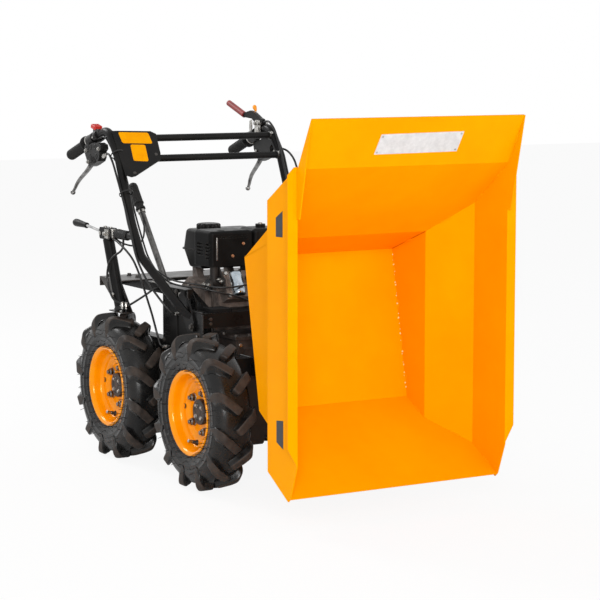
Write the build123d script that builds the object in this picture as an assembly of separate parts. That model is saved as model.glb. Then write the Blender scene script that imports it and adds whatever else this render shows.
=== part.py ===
from build123d import *
import math
import os

# Walk-behind wheeled mini dumper with its skip tipped forward.
# Lengths are in millimetres. While it is built, x runs forward from the front axle,
# y runs to the machine's left and z runs up from the ground. Every node is then moved
# along x so that the origin lies under the middle of the whole machine.

# ------------------------------------------------------------------ driving dimensions

# Wheels
axle_height = 207.5
carcass_radius = 190.0
tyre_width = 110.0
tyre_sides = 36
tread_half = 40.0
sidewall_radius = 150.0
bead_radius = 118.0
lug_count = 12
lug_slant_deg = 45.0
lug_width = 17.0
lug_start = 4.0
lug_shoulder = 43.0
lug_end = 49.0
lug_foot_radius = 166.0
wheel_track_half = 250.0
wheelbase = 506.0
rim_seat_radius = 101.6
rim_flange_radius = 114.0
rim_width = 96.0
rim_sheet = 3.0
dish_depth = 45.0
dish_sheet = 4.0
dish_step = 8.0
dish_step_radius = 70.0
nut_circle_radius = 55.0
nut_count = 5
nut_across_flats = 19.0
nut_height = 10.0
washer_radius = 12.5
washer_sheet = 2.0
stud_radius = 6.0
hub_flange_radius = 68.0
hub_flange_thickness = 8.0
hub_nose_radius = 34.0
hub_nose_height = 12.0
axle_shaft_radius = 12.5
axle_shaft_length = 70.0
running_clearance = 0.05

# Axle housings
axle_case_width = 90.0
axle_case_bottom = 110.0
axle_case_rise = 15.0
axle_case_inner = 90.0
axle_case_outer = 180.0
axle_case_round = 18.0
axle_joint_flange = 5.0
axle_joint_place = 160.0
axle_tube_radius = 26.0
axle_tube_gap = 3.0
drain_plug_radius = 8.0
drain_plug_place = 123.0

# Frame
sheet = 3.0
seat_gap = 0.3
rail_width = 40.0
rail_bottom = 300.0
rail_height = 50.0
rail_rear = -600.0
rail_front = 60.0
side_plate_inner = 180.0
side_plate_rear = -362.0
side_plate_front = -217.0
side_plate_top = 503.0
side_plate_corner = 20.0
beam_front = -128.0
beam_depth = 70.0
beam_top = 448.0
beam_height = 40.0
beam_half = 185.0
end_plate_height = 57.0
tray_top = 325.0
tray_sheet = 6.0
tray_rear = -500.0
tray_front = -240.0
cheek_thickness = 8.0
cheek_eye_radius = 24.0
deck_rail_width = 25.0
deck_rail_height = 25.0
inner_web_half = 120.0
inner_web_rear = -331.0
guard_front = -275.0
guard_bottom = 345.0
vent_radius = 4.0
louvre_length = 30.0
louvre_height = 4.0
louvre_count = 4

# Rear deck
rear_deck_x = -638.0
deck_front_x = -500.0
deck_half = 250.0
deck_flange = 27.0
gusset_bottom = 421.0
gusset_toe = -515.0
gusset_front = -428.0
shelf_width = 30.0

# Skip, tipped forward
hinge_x = 108.0
hinge_z = 329.0
hinge_pin_radius = 12.0
bracket_thickness = 8.0
bracket_gap = 6.0
bracket_base_half = 80.0
bracket_head_half = 20.0
lip = (556.0, 84.0)
front_seam = (258.0, 247.0)
rear_seam = (183.0, 632.0)
rear_kink = (341.0, 690.0)
rear_top = (590.0, 878.0)
guard_top = (653.0, 997.0)
floor_half = 222.0
wide_half = 303.0
step_start_x = 341.0
step_end_x = 445.0
mouth_x = 586.0
mouth_top = 883.0
mouth_bottom = 165.0
flange = 27.0
flange_corner = 18.0
flange_toe = 47.0
side_edge_proud = 12.0

# Drive
gearbox_rear = -230.0
gearbox_front = -97.0
gearbox_right = -97.0
gearbox_left = 60.0
gearbox_bottom = 170.0
gearbox_top = 375.0
gearbox_flange = 6.0
gearbox_lid = 8.0
gearbox_panel = 4.0
tunnel_radius = 30.0
tunnel_collar_radius = 42.0
tunnel_collar = 8.0

# Engine
crank_x = -400.0
crank_height = 106.0
crankcase_half = 75.0
drive_cover_radius = 60.0
drive_cover_depth = 25.0
cylinder_tilt_deg = 25.0
cylinder_y = -18.0
cylinder_start = 60.0
cylinder_width = 80.0
head_face = 182.0
fin_first = 110.0
fin_count = 5
fin_pitch = 8.0
fin_thickness = 3.0
fin_width = 96.0
fin_length = 106.0
valve_cover_width = 76.0
valve_cover_length = 74.0
valve_cover_height = 26.0
valve_cover_flange = 4.0
recoil_radius = 95.0
recoil_depth = 60.0
recoil_slot_count = 14
tank_bottom = 540.0
tank_seam = 594.0
tank_top = 650.0
tank_rear = -478.0
tank_front = -352.0
tank_right = -76.0
tank_left = 138.0
tank_rim = 4.0
tank_corner = 26.0
cap_radius = 34.0
cap_height = 16.0
cap_lobe_count = 12
cap_y = -13.0
muffler_rear = -343.0
muffler_front = -238.0
muffler_right = -100.0
muffler_left = 28.0
muffler_bottom = 560.0
muffler_top = 658.0
muffler_round = 14.0
muffler_slot_depth = 5.0
muffler_slot_top = 623.0
muffler_slot_pitch = 9.4
muffler_slot_height = 5.0
air_rear = -335.0
air_front = -240.0
air_right = 38.0
air_left = 130.0
air_top = 660.0
elbow_x = -256.0
elbow_z = 513.0
elbow_radius = 13.0

# Handlebar, as x and z of each bend's corner
bar_radius = 12.5
cross_bar_radius = 10.0
bar_half = 260.0
grip_half = 268.0
grip_end = (-792.0, 848.0)
bar_top = (-548.0, 932.0)
bar_mid = (-480.0, 850.0)
bar_low = (-405.0, 677.0)
bar_knee = (-345.0, 588.0)
bar_foot = (-178.0, 429.0)
bar_bends = (45.0, 110.0, 150.0, 70.0)
palm_sheet = 6.0
palm_slope = 62.0
upper_cross_drop = 35.0
grip_radius = 16.0
grip_length = 118.0
grip_flange = 6.0
grip_wall = 4.0

# Controls, as distances along the bar from the grip's end
perch_start = 136.0
perch_length = 40.0
switch_start = 184.0
switch_length = 18.0
clutch_start = 203.0
clutch_length = 20.0
collar_wall = 6.0
collar_gap = 0.1
panel_sheet = 3.0
lever_blade = 7.0
lever_blade_thickness = 4.0
lever_ball_radius = 7.5
post_radius = 16.0
post_y = -deck_half - 17.8
post_foot_x = -460.0
post_head_x = -540.0
post_head_z = 622.0
gear_rod_radius = 4.0
gear_knob_radius = 11.0
tip_y = -144.0
tip_pivot = (-415.0, 490.0)
tip_rod_end = (-583.0, 697.0)
tip_rod_radius = 9.0
tip_grip_length = 91.0
tip_grip_radius = 15.0
cable_radius = 3.0
wire_radius = 2.5
gear_cable_ahead = 178.0


# ------------------------------------------------------------------ helpers

def block(x_from, x_to, y_from, y_to, z_from, z_to):
    """A box given by its faces."""
    centre = ((x_from + x_to) / 2, (y_from + y_to) / 2, (z_from + z_to) / 2)
    return Pos(*centre) * Box(x_to - x_from, y_to - y_from, z_to - z_from)


def prism_xz(points, y_from, y_to):
    """A flat outline in x and z, extruded along y."""
    outline = Polyline(*[(x, y_from, z) for x, z in points], close=True)
    return extrude(make_face(outline), amount=y_to - y_from, dir=(0, 1, 0))


def prism_xy(points, z_from, z_to):
    """A flat outline in x and y, extruded along z."""
    outline = Polyline(*[(x, y, z_from) for x, y in points], close=True)
    return extrude(make_face(outline), amount=z_to - z_from, dir=(0, 0, 1))


def rod(start, end, radius):
    """A round bar from one point to another."""
    run = Vector(*end) - Vector(*start)
    return Plane(origin=start, z_dir=run) * Cylinder(
        radius, run.length, align=(Align.CENTER, Align.CENTER, Align.MIN))


def across(x, z, y_from, y_to, radius):
    """A round bar along y."""
    return rod((x, y_from, z), (x, y_to, z), radius)


def bent_tube(points, radii, radius):
    """A round bar along straight runs joined by tangent arcs."""
    path = FilletPolyline(*points, radius=radii)
    return sweep(Plane(origin=path @ 0, z_dir=path % 0) * Circle(radius), path=path)


def bent_strip(points, thickness):
    """The outline of a folded sheet, thickened to the right of its run."""
    shifted = []
    for index in range(len(points)):
        normals = []
        for first, second in ((index - 1, index), (index, index + 1)):
            if first < 0 or second >= len(points):
                continue
            dx = points[second][0] - points[first][0]
            dz = points[second][1] - points[first][1]
            length = math.hypot(dx, dz)
            normals.append((dz / length, -dx / length))
        nx = sum(n[0] for n in normals) / len(normals)
        nz = sum(n[1] for n in normals) / len(normals)
        scale = thickness / (nx * nx + nz * nz)
        shifted.append((points[index][0] + nx * scale, points[index][1] + nz * scale))
    return list(points) + shifted[::-1]


def mirrored(solid):
    """The same piece on the machine's other side."""
    return mirror(solid, about=Plane.XZ)


nodes = {}

# ------------------------------------------------------------------ wheels

axle_x = {"front": 0.0, "rear": -wheelbase}
lug_stretch = 1 / math.cos(math.radians(lug_slant_deg))
lug_middle = (lug_start + lug_end) / 2 + 0.5
lug_pitch_deg = 360.0 / lug_count
lug_tip_radius = axle_height / math.cos(math.radians(lug_pitch_deg / 4))


def faceted_ring(profile, sides):
    """A ring of flat facets: a closed profile of (radius, height), turned about the z axis."""
    faces = []
    steps = [2 * math.pi * step / sides for step in range(sides + 1)]
    turns = [(math.cos(angle), math.sin(angle)) for angle in steps]
    for (cos_a, sin_a), (cos_b, sin_b) in zip(turns, turns[1:]):
        for (r_a, h_a), (r_b, h_b) in zip(profile, profile[1:] + profile[:1]):
            corners = [(r_a * cos_a, r_a * sin_a, h_a), (r_b * cos_a, r_b * sin_a, h_b),
                       (r_b * cos_b, r_b * sin_b, h_b), (r_a * cos_b, r_a * sin_b, h_a)]
            faces.append(make_face(Polyline(*corners, close=True)))
    return Solid(Shell(faces))


def lug():
    """One lug: a bar that slants from the middle of the tread over its outer shoulder."""
    slant = math.radians(lug_slant_deg)
    across_half = lug_width / 2
    far_corner = (lug_middle - lug_start) * lug_stretch * math.sin(slant) + across_half * math.cos(slant)
    crown = math.sqrt(lug_tip_radius ** 2 - far_corner ** 2)
    stand = Plane(origin=(0, 0, lug_middle), x_dir=(0, math.sin(slant), math.cos(slant)),
                  z_dir=(0, math.cos(slant), -math.sin(slant)))
    # distance from the middle of the tread, radius
    outline = [(lug_start, carcass_radius - 6), (lug_start, crown), (lug_shoulder, crown),
               (lug_end, carcass_radius + 6), (lug_end, lug_foot_radius),
               (tread_half, lug_foot_radius + 10)]
    points = [((place - lug_middle) * lug_stretch, radius) for place, radius in outline]
    turn = math.degrees(math.atan2(far_corner, crown)) + lug_pitch_deg / 4
    face = make_face(Polyline(*points, close=True))
    return Rot(0, 0, turn) * (stand * extrude(face, amount=across_half, both=True))


def tyre():
    """The tyre about the z axis: a faceted carcass with two rows of slanting lugs."""
    out = 1 / math.cos(math.pi / tyre_sides)
    half = tyre_width / 2 - 1
    bead = rim_width / 2 - rim_sheet
    side = [((rim_seat_radius + seat_gap) * out, bead), (bead_radius * out, bead),
            (sidewall_radius * out, half), (carcass_radius, tread_half)]
    profile = [(radius, -height) for radius, height in side] + side[::-1]
    lugs = []
    for step in range(lug_count):
        lugs.append(Rot(0, 0, step * lug_pitch_deg) * lug())
        lugs.append(Rot(0, 0, (step + 0.5) * lug_pitch_deg) * mirror(lug(), about=Plane.XY))
    return faceted_ring(profile, tyre_sides).fuse(*[solid for one in lugs for solid in one.solids()])


def rim():
    """The pressed rim about the z axis, its stepped dish facing +z."""
    half = rim_width / 2
    seat = rim_seat_radius
    inner = seat - rim_sheet
    flange_r = rim_flange_radius
    barrel = Polyline(
        (inner, -half), (flange_r, -half), (flange_r, -half + rim_sheet),
        (seat, -half + rim_sheet), (seat, half - rim_sheet), (flange_r, half - rim_sheet),
        (flange_r, half - 1), (flange_r - 1, half), (inner, half), close=True)
    top = half - dish_depth
    bore = hub_nose_radius + seat_gap
    slope = dish_step_radius + dish_step
    upper = [(bore, top), (dish_step_radius, top), (slope, top + dish_step),
             (inner - dish_step, top + dish_step), (inner, top + 2 * dish_step)]
    lower = [(radius, height - dish_sheet) for radius, height in upper[:-1]]
    lower.append((inner, top + dish_step - dish_sheet))
    dish = Polyline(*(upper + lower[::-1]), close=True)
    body = revolve(Plane.XZ * make_face(barrel), axis=Axis.Z)
    body += revolve(Plane.XZ * make_face(dish), axis=Axis.Z)
    for place in PolarLocations(nut_circle_radius, nut_count):
        body -= place * Pos(0, 0, top) * Cylinder(stud_radius + seat_gap, 4 * dish_sheet)
    return body


def hub():
    """The hub about the z axis: shaft, flange, nose, studs, washers and nuts."""
    dish_top = rim_width / 2 - dish_depth
    flange_top = dish_top - dish_sheet
    from_bottom = (Align.CENTER, Align.CENTER, Align.MIN)
    body = Pos(0, 0, flange_top - hub_flange_thickness) * Cylinder(
        hub_flange_radius, hub_flange_thickness, align=from_bottom)
    nose = Cylinder(hub_nose_radius, dish_sheet + hub_nose_height, align=from_bottom)
    body += Pos(0, 0, flange_top) * chamfer(nose.edges().sort_by(Axis.Z)[-1], 2)
    shaft_bottom = flange_top - hub_flange_thickness - axle_shaft_length
    body += Pos(0, 0, shaft_bottom) * Cylinder(
        axle_shaft_radius, axle_shaft_length, align=from_bottom)
    nut = extrude(RegularPolygon(nut_across_flats / 2, 6, major_radius=False), nut_height)
    for place in PolarLocations(nut_circle_radius, nut_count):
        body += place * Pos(0, 0, flange_top) * Cylinder(
            stud_radius, dish_sheet + nut_height + 4, align=from_bottom)
        body += place * Pos(0, 0, dish_top) * Cylinder(
            washer_radius, washer_sheet, align=from_bottom)
        body += place * Pos(0, 0, dish_top + washer_sheet / 2) * nut
    return body


outward = Plane(origin=(0, -wheel_track_half, axle_height), x_dir=(1, 0, 0), z_dir=(0, -1, 0))
wheel_pieces = {"tyre": outward * tyre(), "rim": outward * rim(), "hub": outward * hub()}
for axle, x_place in axle_x.items():
    for piece, solid in wheel_pieces.items():
        nodes[f"{piece}_{axle}_right"] = Pos(x_place, 0, 0) * solid
        nodes[f"{piece}_{axle}_left"] = Pos(x_place, 0, 0) * mirrored(solid)

# ------------------------------------------------------------------ axle housings

hub_inner = wheel_track_half + rim_width / 2 - dish_depth - dish_sheet - hub_flange_thickness


def case_slice(x_place, grow, bottom, y_from, y_to):
    """A stretch of the casing: flat on top, rounded below."""
    low = bottom - grow
    face = Rectangle(axle_case_width + 2 * grow, rail_bottom - low)
    face = fillet(face.vertices().group_by(Axis.Y)[0], axle_case_round)
    stand = Plane(origin=(x_place, y_from, (rail_bottom + low) / 2), x_dir=(1, 0, 0), z_dir=(0, -1, 0))
    return extrude(stand * face, amount=y_to - y_from, dir=(0, 1, 0))


def axle_housing(x_place):
    """Centre casing, bolted gear case at each end and the tubes that carry the hubs."""
    body = case_slice(x_place, 0, axle_case_bottom + axle_case_rise, -axle_case_inner, axle_case_inner)
    half = case_slice(x_place, 0, axle_case_bottom, axle_case_inner, axle_case_outer)
    half += case_slice(x_place, axle_joint_flange, axle_case_bottom, axle_joint_place - 4,
                       axle_joint_place + 4)
    half += rod((x_place, drain_plug_place, axle_case_bottom - 6),
                (x_place, drain_plug_place, axle_case_bottom + 4), drain_plug_radius)
    tube_end = hub_inner - axle_tube_gap
    half += across(x_place, axle_height, axle_case_outer, tube_end, axle_tube_radius)
    half -= across(x_place, axle_height, hub_inner - axle_shaft_length - 2, tube_end + 1,
                   axle_shaft_radius + running_clearance)
    return body + half + mirrored(half)


for axle, x_place in axle_x.items():
    nodes[f"{axle}_axle_housing"] = axle_housing(x_place)

# ------------------------------------------------------------------ frame

rail_outer = side_plate_inner
rail_inner = rail_outer - rail_width
rail_top = rail_bottom + rail_height
plate_outer = side_plate_inner + sheet
deck_rail_inner = rail_outer - deck_rail_width
cheek_inner = rail_inner - cheek_thickness
beam_rear = beam_front - beam_depth
deck_top = side_plate_top + sheet

# The vent holes behind the belt: x and z of each
vent_holes = [(-352.0, 462.0), (-352.0, 447.0), (-343.0, 432.0)]


def cheek():
    """A plate ahead of the rail with the eye that carries the skip's hinge pin."""
    body = prism_xz([(0.0, rail_bottom), (hinge_x, hinge_z - cheek_eye_radius),
                     (hinge_x, hinge_z + cheek_eye_radius), (0.0, rail_top)],
                    cheek_inner, rail_inner)
    body += across(hinge_x, hinge_z, cheek_inner, rail_inner, cheek_eye_radius)
    return body - across(hinge_x, hinge_z, cheek_inner - 1, rail_inner + 1,
                         hinge_pin_radius + running_clearance)


def frame():
    """Rails, side plates, cross beam, engine tray, hinge cheeks and the web inside the belt."""
    body = block(beam_rear, beam_front, -beam_half, beam_half, beam_top - beam_height, beam_top)
    body += block(tray_rear, tray_front, -rail_inner, rail_inner, tray_top - tray_sheet, tray_top)
    outline = [
        (side_plate_rear, rail_bottom), (side_plate_rear, side_plate_top - side_plate_corner),
        (side_plate_rear + 8, side_plate_top), (side_plate_front, side_plate_top),
        (side_plate_front, beam_top), (beam_front, beam_top),
        (beam_front, beam_top - end_plate_height), (beam_front - 30, rail_bottom)]
    half = block(rail_rear, rail_front, rail_inner, rail_outer, rail_bottom, rail_top)
    half += prism_xz(outline, side_plate_inner, plate_outer)
    half += block(rear_deck_x, side_plate_front - 20, deck_rail_inner, rail_outer,
                  side_plate_top - deck_rail_height, side_plate_top)
    half += cheek()
    gusset = [(side_plate_front - 30, side_plate_top), (side_plate_front, side_plate_top - 30),
              (side_plate_front, beam_top), (side_plate_front - 30, beam_top)]
    half += prism_xz(gusset, deck_rail_inner, deck_rail_inner + sheet)
    body += half + mirrored(half)
    web = [(inner_web_rear, tray_top), (inner_web_rear, side_plate_top - 6),
           (inner_web_rear + 8, side_plate_top - 6), (beam_rear - 8, beam_top),
           (beam_rear, beam_top), (beam_rear, beam_top - beam_height), (tray_front, tray_top)]
    body += prism_xz(web, -inner_web_half, -inner_web_half + sheet)
    fold = [(inner_web_rear + 8, side_plate_top - 6), (beam_rear - 8, beam_top),
            (beam_rear - 9, beam_top - sheet), (inner_web_rear + 7, side_plate_top - 6 - sheet)]
    body += prism_xz(fold, -inner_web_half - 12, -inner_web_half)
    for hole_x, hole_z in vent_holes:
        body -= across(hole_x, hole_z, -plate_outer - 1, -side_plate_inner + 1, vent_radius)
    return body


nodes["frame"] = frame()


def rear_deck():
    """The deck plate behind the engine with its rear lip, end gussets and lever shelf."""
    body = block(rear_deck_x, deck_front_x, -deck_half, deck_half, side_plate_top, deck_top)
    body += block(rear_deck_x - sheet, rear_deck_x, -deck_half, deck_half,
                  deck_top - deck_flange, deck_top)
    gusset = prism_xz([(rear_deck_x, side_plate_top), (gusset_toe, gusset_bottom),
                       (gusset_front, gusset_bottom), (gusset_front, gusset_bottom + 4),
                       (deck_front_x, side_plate_top)], deck_half - sheet, deck_half)
    shelf = block(gusset_toe, gusset_front, deck_half, deck_half + shelf_width,
                  gusset_bottom, gusset_bottom + sheet)
    body += gusset + mirrored(gusset) + mirrored(shelf)
    return body


nodes["rear_deck"] = rear_deck()


def belt_guard():
    """The cover plate outside the belt, with vent holes and a stack of louvres."""
    guard_outer = plate_outer + sheet
    body = prism_xz([(side_plate_rear, guard_bottom), (side_plate_rear, side_plate_top - side_plate_corner),
                     (side_plate_rear + 8, side_plate_top), (guard_front, side_plate_top),
                     (guard_front, guard_bottom)], -guard_outer, -plate_outer)
    for hole_x, hole_z in vent_holes:
        body -= across(hole_x, hole_z, -guard_outer - 1, -plate_outer + 1, vent_radius)
    for step in range(louvre_count):
        low = guard_bottom + 20 + step * 2.5 * louvre_height
        body -= block(side_plate_rear + 14, side_plate_rear + 14 + louvre_length,
                      -guard_outer - 1, -guard_outer + sheet / 2, low, low + louvre_height)
    return body


nodes["belt_guard"] = belt_guard()

# ------------------------------------------------------------------ skip

floor_run = Vector(rear_seam[0] - front_seam[0], 0, rear_seam[1] - front_seam[1])
floor_dir = floor_run.normalized()
floor_out = Vector(-floor_dir.Z, 0, floor_dir.X)
to_hinge = Vector(hinge_x - front_seam[0], 0, hinge_z - front_seam[1])
hinge_to_floor = to_hinge.dot(floor_out) - sheet
hinge_along_floor = to_hinge.dot(floor_dir)
bracket_outer = cheek_inner - bracket_gap
bracket_inner = bracket_outer - bracket_thickness
skip_high = guard_top[1] + 100


def section_half(offset):
    """Half the skip's plan section along x, moved outwards by an offset."""
    return [(0.0, floor_half + offset), (step_start_x, floor_half + offset),
            (step_end_x, wide_half + offset), (mouth_x, wide_half + offset)]


def skip_pan():
    """Lip, front wall, floor, rear wall and guard, folded from one strip."""
    strip = bent_strip([guard_top, rear_top, rear_kink, rear_seam, front_seam, lip], sheet)
    body = prism_xz(strip, -wide_half, wide_half)
    half = section_half(0.0)
    far = guard_top[0] + 50
    plan = half + [(far, wide_half), (far, -wide_half)] + [(x, -y) for x, y in reversed(half)]
    return body & prism_xy(plan, 0.0, skip_high)


def skip_side():
    """The left side: a folded panel, its mouth flange and the wing of the guard."""
    inner = section_half(0.0)
    outer = section_half(sheet)
    panel = prism_xy(inner + outer[::-1], 0.0, skip_high)
    edge_z = front_seam[1] + (lip[1] - front_seam[1]) * (step_end_x - front_seam[0]) / (lip[0] - front_seam[0])
    outline = [rear_seam, front_seam, (step_end_x, edge_z - side_edge_proud),
               (lip[0] - 11, lip[1] - 9), lip, (mouth_x, mouth_bottom), (mouth_x, mouth_top),
               (step_end_x - 5, mouth_top - 90), rear_kink]
    panel = panel & prism_xz(outline, 0.0, wide_half + flange)
    edge = wide_half + flange
    lip_flange = Polyline((mouth_x, wide_half, mouth_bottom), (mouth_x, edge, mouth_bottom + flange_toe),
                          (mouth_x, edge, mouth_top - flange_corner),
                          (mouth_x, edge - flange_corner, mouth_top),
                          (mouth_x, wide_half, mouth_top), close=True)
    body = panel + extrude(make_face(lip_flange), amount=sheet, dir=(-1, 0, 0))
    wing_foot = mouth_top - 122
    wing = prism_xz([(mouth_x, wing_foot), (mouth_x + 13, wing_foot), guard_top, rear_top,
                     (mouth_x, rear_top[1] - 2)], wide_half, wide_half + sheet)
    return body + wing


def skip_hinge():
    """Two welded brackets under the floor and the pin that turns in the cheeks."""
    def on_floor(along, out):
        point = Vector(front_seam[0], 0, front_seam[1]) + floor_dir * along + floor_out * out
        return (point.X, point.Z)
    base = hinge_along_floor
    head = sheet + hinge_to_floor
    outline = [on_floor(base - bracket_base_half, sheet), on_floor(base + bracket_base_half, sheet),
               on_floor(base + bracket_head_half, head), on_floor(base - bracket_head_half, head)]
    plate = prism_xz(outline, bracket_inner, bracket_outer)
    plate += across(hinge_x, hinge_z, bracket_inner, bracket_outer, cheek_eye_radius)
    pin_end = rail_inner + 4
    pin = across(hinge_x, hinge_z, -pin_end, pin_end, hinge_pin_radius)
    return plate + mirrored(plate) + pin


nodes["skip_pan"] = skip_pan()
nodes["skip_side_left"] = skip_side()
nodes["skip_side_right"] = mirrored(skip_side())
nodes["skip_hinge"] = skip_hinge()

pad_top = hinge_z + hinge_to_floor - seat_gap
pads = block(beam_rear + 5, beam_front - 5, 90.0, 150.0, beam_top, pad_top)
nodes["skip_rest_pads"] = pads + mirrored(pads)

# ------------------------------------------------------------------ drive


def gearbox():
    """The casting between the axles: a ribbed case, its lid and the collars of the tunnels."""
    body = block(gearbox_rear, gearbox_front, gearbox_right, gearbox_left, gearbox_bottom, gearbox_top)
    body = fillet(body.edges().filter_by(Axis.X).group_by(Axis.Z)[0], 16)
    body += block(gearbox_rear - gearbox_flange, gearbox_front + gearbox_flange,
                  gearbox_right - gearbox_flange, gearbox_left + gearbox_flange,
                  gearbox_top, gearbox_top + gearbox_lid)
    inset = 4 * gearbox_flange
    body += block(gearbox_front, gearbox_front + gearbox_panel, gearbox_right + inset,
                  gearbox_left - inset, axle_height + tunnel_collar_radius + 8, gearbox_top - inset)
    for rib_y in (gearbox_right + 2, gearbox_left - 10):
        body += block(gearbox_front, gearbox_front + gearbox_panel, rib_y, rib_y + 8,
                      gearbox_bottom + 20, gearbox_top)
    for face_x, sign in ((gearbox_front, 1), (gearbox_rear, -1)):
        body += rod((face_x, 0, axle_height), (face_x + sign * tunnel_collar, 0, axle_height),
                    tunnel_collar_radius)
    return body


nodes["gearbox"] = gearbox()
nodes["drive_tunnel_front"] = rod((gearbox_front + tunnel_collar, 0, axle_height),
                                  (-axle_case_width / 2, 0, axle_height), tunnel_radius)
nodes["drive_tunnel_rear"] = rod((-wheelbase + axle_case_width / 2, 0, axle_height),
                                 (gearbox_rear - tunnel_collar, 0, axle_height), tunnel_radius)

# ------------------------------------------------------------------ engine

crank_z = tray_top + crank_height
cylinder_dir = Vector(math.cos(math.radians(cylinder_tilt_deg)), 0,
                      math.sin(math.radians(cylinder_tilt_deg)))
from_low = (Align.CENTER, Align.CENTER, Align.MIN)

# The crankcase's outline: ahead of the crank, above the tray
crankcase_outline = [(-75, 0), (95, 0), (95, 60), (75, 171), (-20, 191), (-75, 156)]
# The heat guard's louvres: rear and front of each column, and how many rows it has
muffler_slots = [(-319.0, -282.0, 4), (-269.0, -246.0, 5)]
# The tank's two legs: the side of each that faces right
tank_legs = (-50.0, 50.0)
leg_width = 20.0


def up_cylinder(distance):
    """The plane across the cylinder at a distance from the crank, its x along the machine's y."""
    return Plane(origin=Vector(crank_x, cylinder_y, crank_z) + cylinder_dir * distance,
                 x_dir=(0, 1, 0), z_dir=cylinder_dir)


def engine_block():
    """Crankcase, finned cylinder leaning forward, the drive-side cover and the tank's legs."""
    outline = [(crank_x + ahead, tray_top + above) for ahead, above in crankcase_outline]
    body = prism_xz(outline, -crankcase_half, crankcase_half)
    body += across(crank_x, crank_z, -crankcase_half - drive_cover_depth, -crankcase_half,
                   drive_cover_radius)
    body += up_cylinder(cylinder_start) * Box(
        cylinder_width, cylinder_width, head_face - cylinder_start, align=from_low)
    for index in range(fin_count):
        body += up_cylinder(fin_first + index * fin_pitch) * Box(
            fin_width, fin_length, fin_thickness, align=from_low)
    for leg_y in tank_legs:
        leg = prism_xz([(crank_x - 40, crank_z + 55), (crank_x + 5, crank_z + 55),
                        (crank_x - 25, tank_bottom), (crank_x - 45, tank_bottom)],
                       leg_y, leg_y + leg_width)
        body += leg
    return body


def valve_cover():
    """The pressed cover on the cylinder head: a flange and a cap with rounded edges."""
    cap = Box(valve_cover_width, valve_cover_length, valve_cover_height, align=from_low)
    cap = fillet(cap.edges().group_by(Axis.Z)[-1] + cap.edges().filter_by(Axis.Z), 7)
    cap += Box(valve_cover_width + 6, valve_cover_length + 4, valve_cover_flange, align=from_low)
    return up_cylinder(head_face) * cap


def muffler_guard():
    """The pressed heat guard with its louvres, its bolt and a row of small slots."""
    body = block(muffler_rear, muffler_front, muffler_right, muffler_left,
                 muffler_bottom, muffler_top)
    upright = body.edges().filter_by(Axis.Z).group_by(Axis.Y)[0]
    body = fillet(upright, muffler_round)
    body = fillet(body.edges().group_by(Axis.Z)[-1], muffler_round * 0.7)
    for slot_rear, slot_front, rows in muffler_slots:
        for row in range(rows):
            high = muffler_slot_top - row * muffler_slot_pitch
            body -= block(slot_rear, slot_front, muffler_right - 1,
                          muffler_right + muffler_slot_depth, high - muffler_slot_height, high)
    body -= Pos(muffler_front - 20, muffler_right + 42, muffler_top) * Cylinder(11, 6)
    for index in range(12):
        low = muffler_right + 22 + index * 8
        body -= block(muffler_front - 4, muffler_front + 1, low, low + 4,
                      muffler_top - 20, muffler_top - 14)
    return body


def fuel_tank():
    """Two pressed halves that narrow away from the folded seam between them."""
    width, length = tank_front - tank_rear, tank_left - tank_right
    middle = Pos((tank_front + tank_rear) / 2, (tank_left + tank_right) / 2, tank_seam)
    plan = RectangleRounded(width - 2 * tank_rim, length - 2 * tank_rim, tank_corner)
    upper = extrude(plan, amount=tank_top - tank_seam, taper=8)
    upper = fillet(upper.edges().group_by(Axis.Z)[-1], 12)
    lower = extrude(plan, amount=tank_seam - tank_bottom, dir=(0, 0, -1), taper=18)
    lower = fillet(lower.edges().group_by(Axis.Z)[0], 10)
    seam = Pos(0, 0, -2) * extrude(RectangleRounded(width, length, tank_corner + tank_rim), 4)
    return middle * (upper + lower + seam)


def fuel_cap():
    """The round cap with finger lobes round its rim."""
    cap = Cylinder(cap_radius, cap_height, align=from_low)
    cap = fillet(cap.edges().sort_by(Axis.Z)[-1], 3)
    for place in PolarLocations(cap_radius + 3, cap_lobe_count):
        cap -= place * Cylinder(6, 3 * cap_height)
    return Pos((tank_rear + tank_front) / 2, cap_y, tank_top) * cap


def air_cleaner():
    """The filter housing with its lid seam and knob, on the carburettor and its spacer."""
    width, length = air_front - air_rear, air_left - air_right
    middle = Pos((air_front + air_rear) / 2, (air_left + air_right) / 2, 0)
    case = extrude(RectangleRounded(width, length, 16), air_top - tank_bottom)
    case = fillet(case.edges().group_by(Axis.Z)[-1], 10)
    body = middle * Pos(0, 0, tank_bottom) * case
    groove = extrude(RectangleRounded(width, length, 16) - RectangleRounded(width - 4, length - 4, 14), 3)
    body -= middle * Pos(0, 0, air_top - 42) * groove
    knob = middle * Pos(0, 0, air_top) * Cylinder(14, 9, align=from_low)
    low = crank_z + 47
    inner = cylinder_y + fin_width / 2 + seat_gap
    carburettor = block(air_rear + 25, air_front - 22, inner, air_left - 40, low, tank_bottom)
    return body + knob + carburettor


def recoil_starter():
    """The fan cover on the left of the crankcase, domed, slotted and with a pull handle."""
    drum = Cylinder(recoil_radius, recoil_depth - 18, align=from_low)
    dome = Pos(0, 0, recoil_depth - 18) * extrude(Circle(recoil_radius), amount=18, taper=40)
    body = drum + dome
    for place in PolarLocations(52, recoil_slot_count):
        body -= place * Pos(0, 0, recoil_depth) * Box(26, 7, 10)
    handle = Pos(0, recoil_radius - 26, recoil_depth - 10) * fillet(
        Box(34, 14, 20, align=from_low).edges().filter_by(Axis.X), 5)
    body += handle
    stand = Plane(origin=(crank_x, crankcase_half, crank_z), x_dir=(-1, 0, 0), z_dir=(0, 1, 0))
    return stand * body


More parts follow.
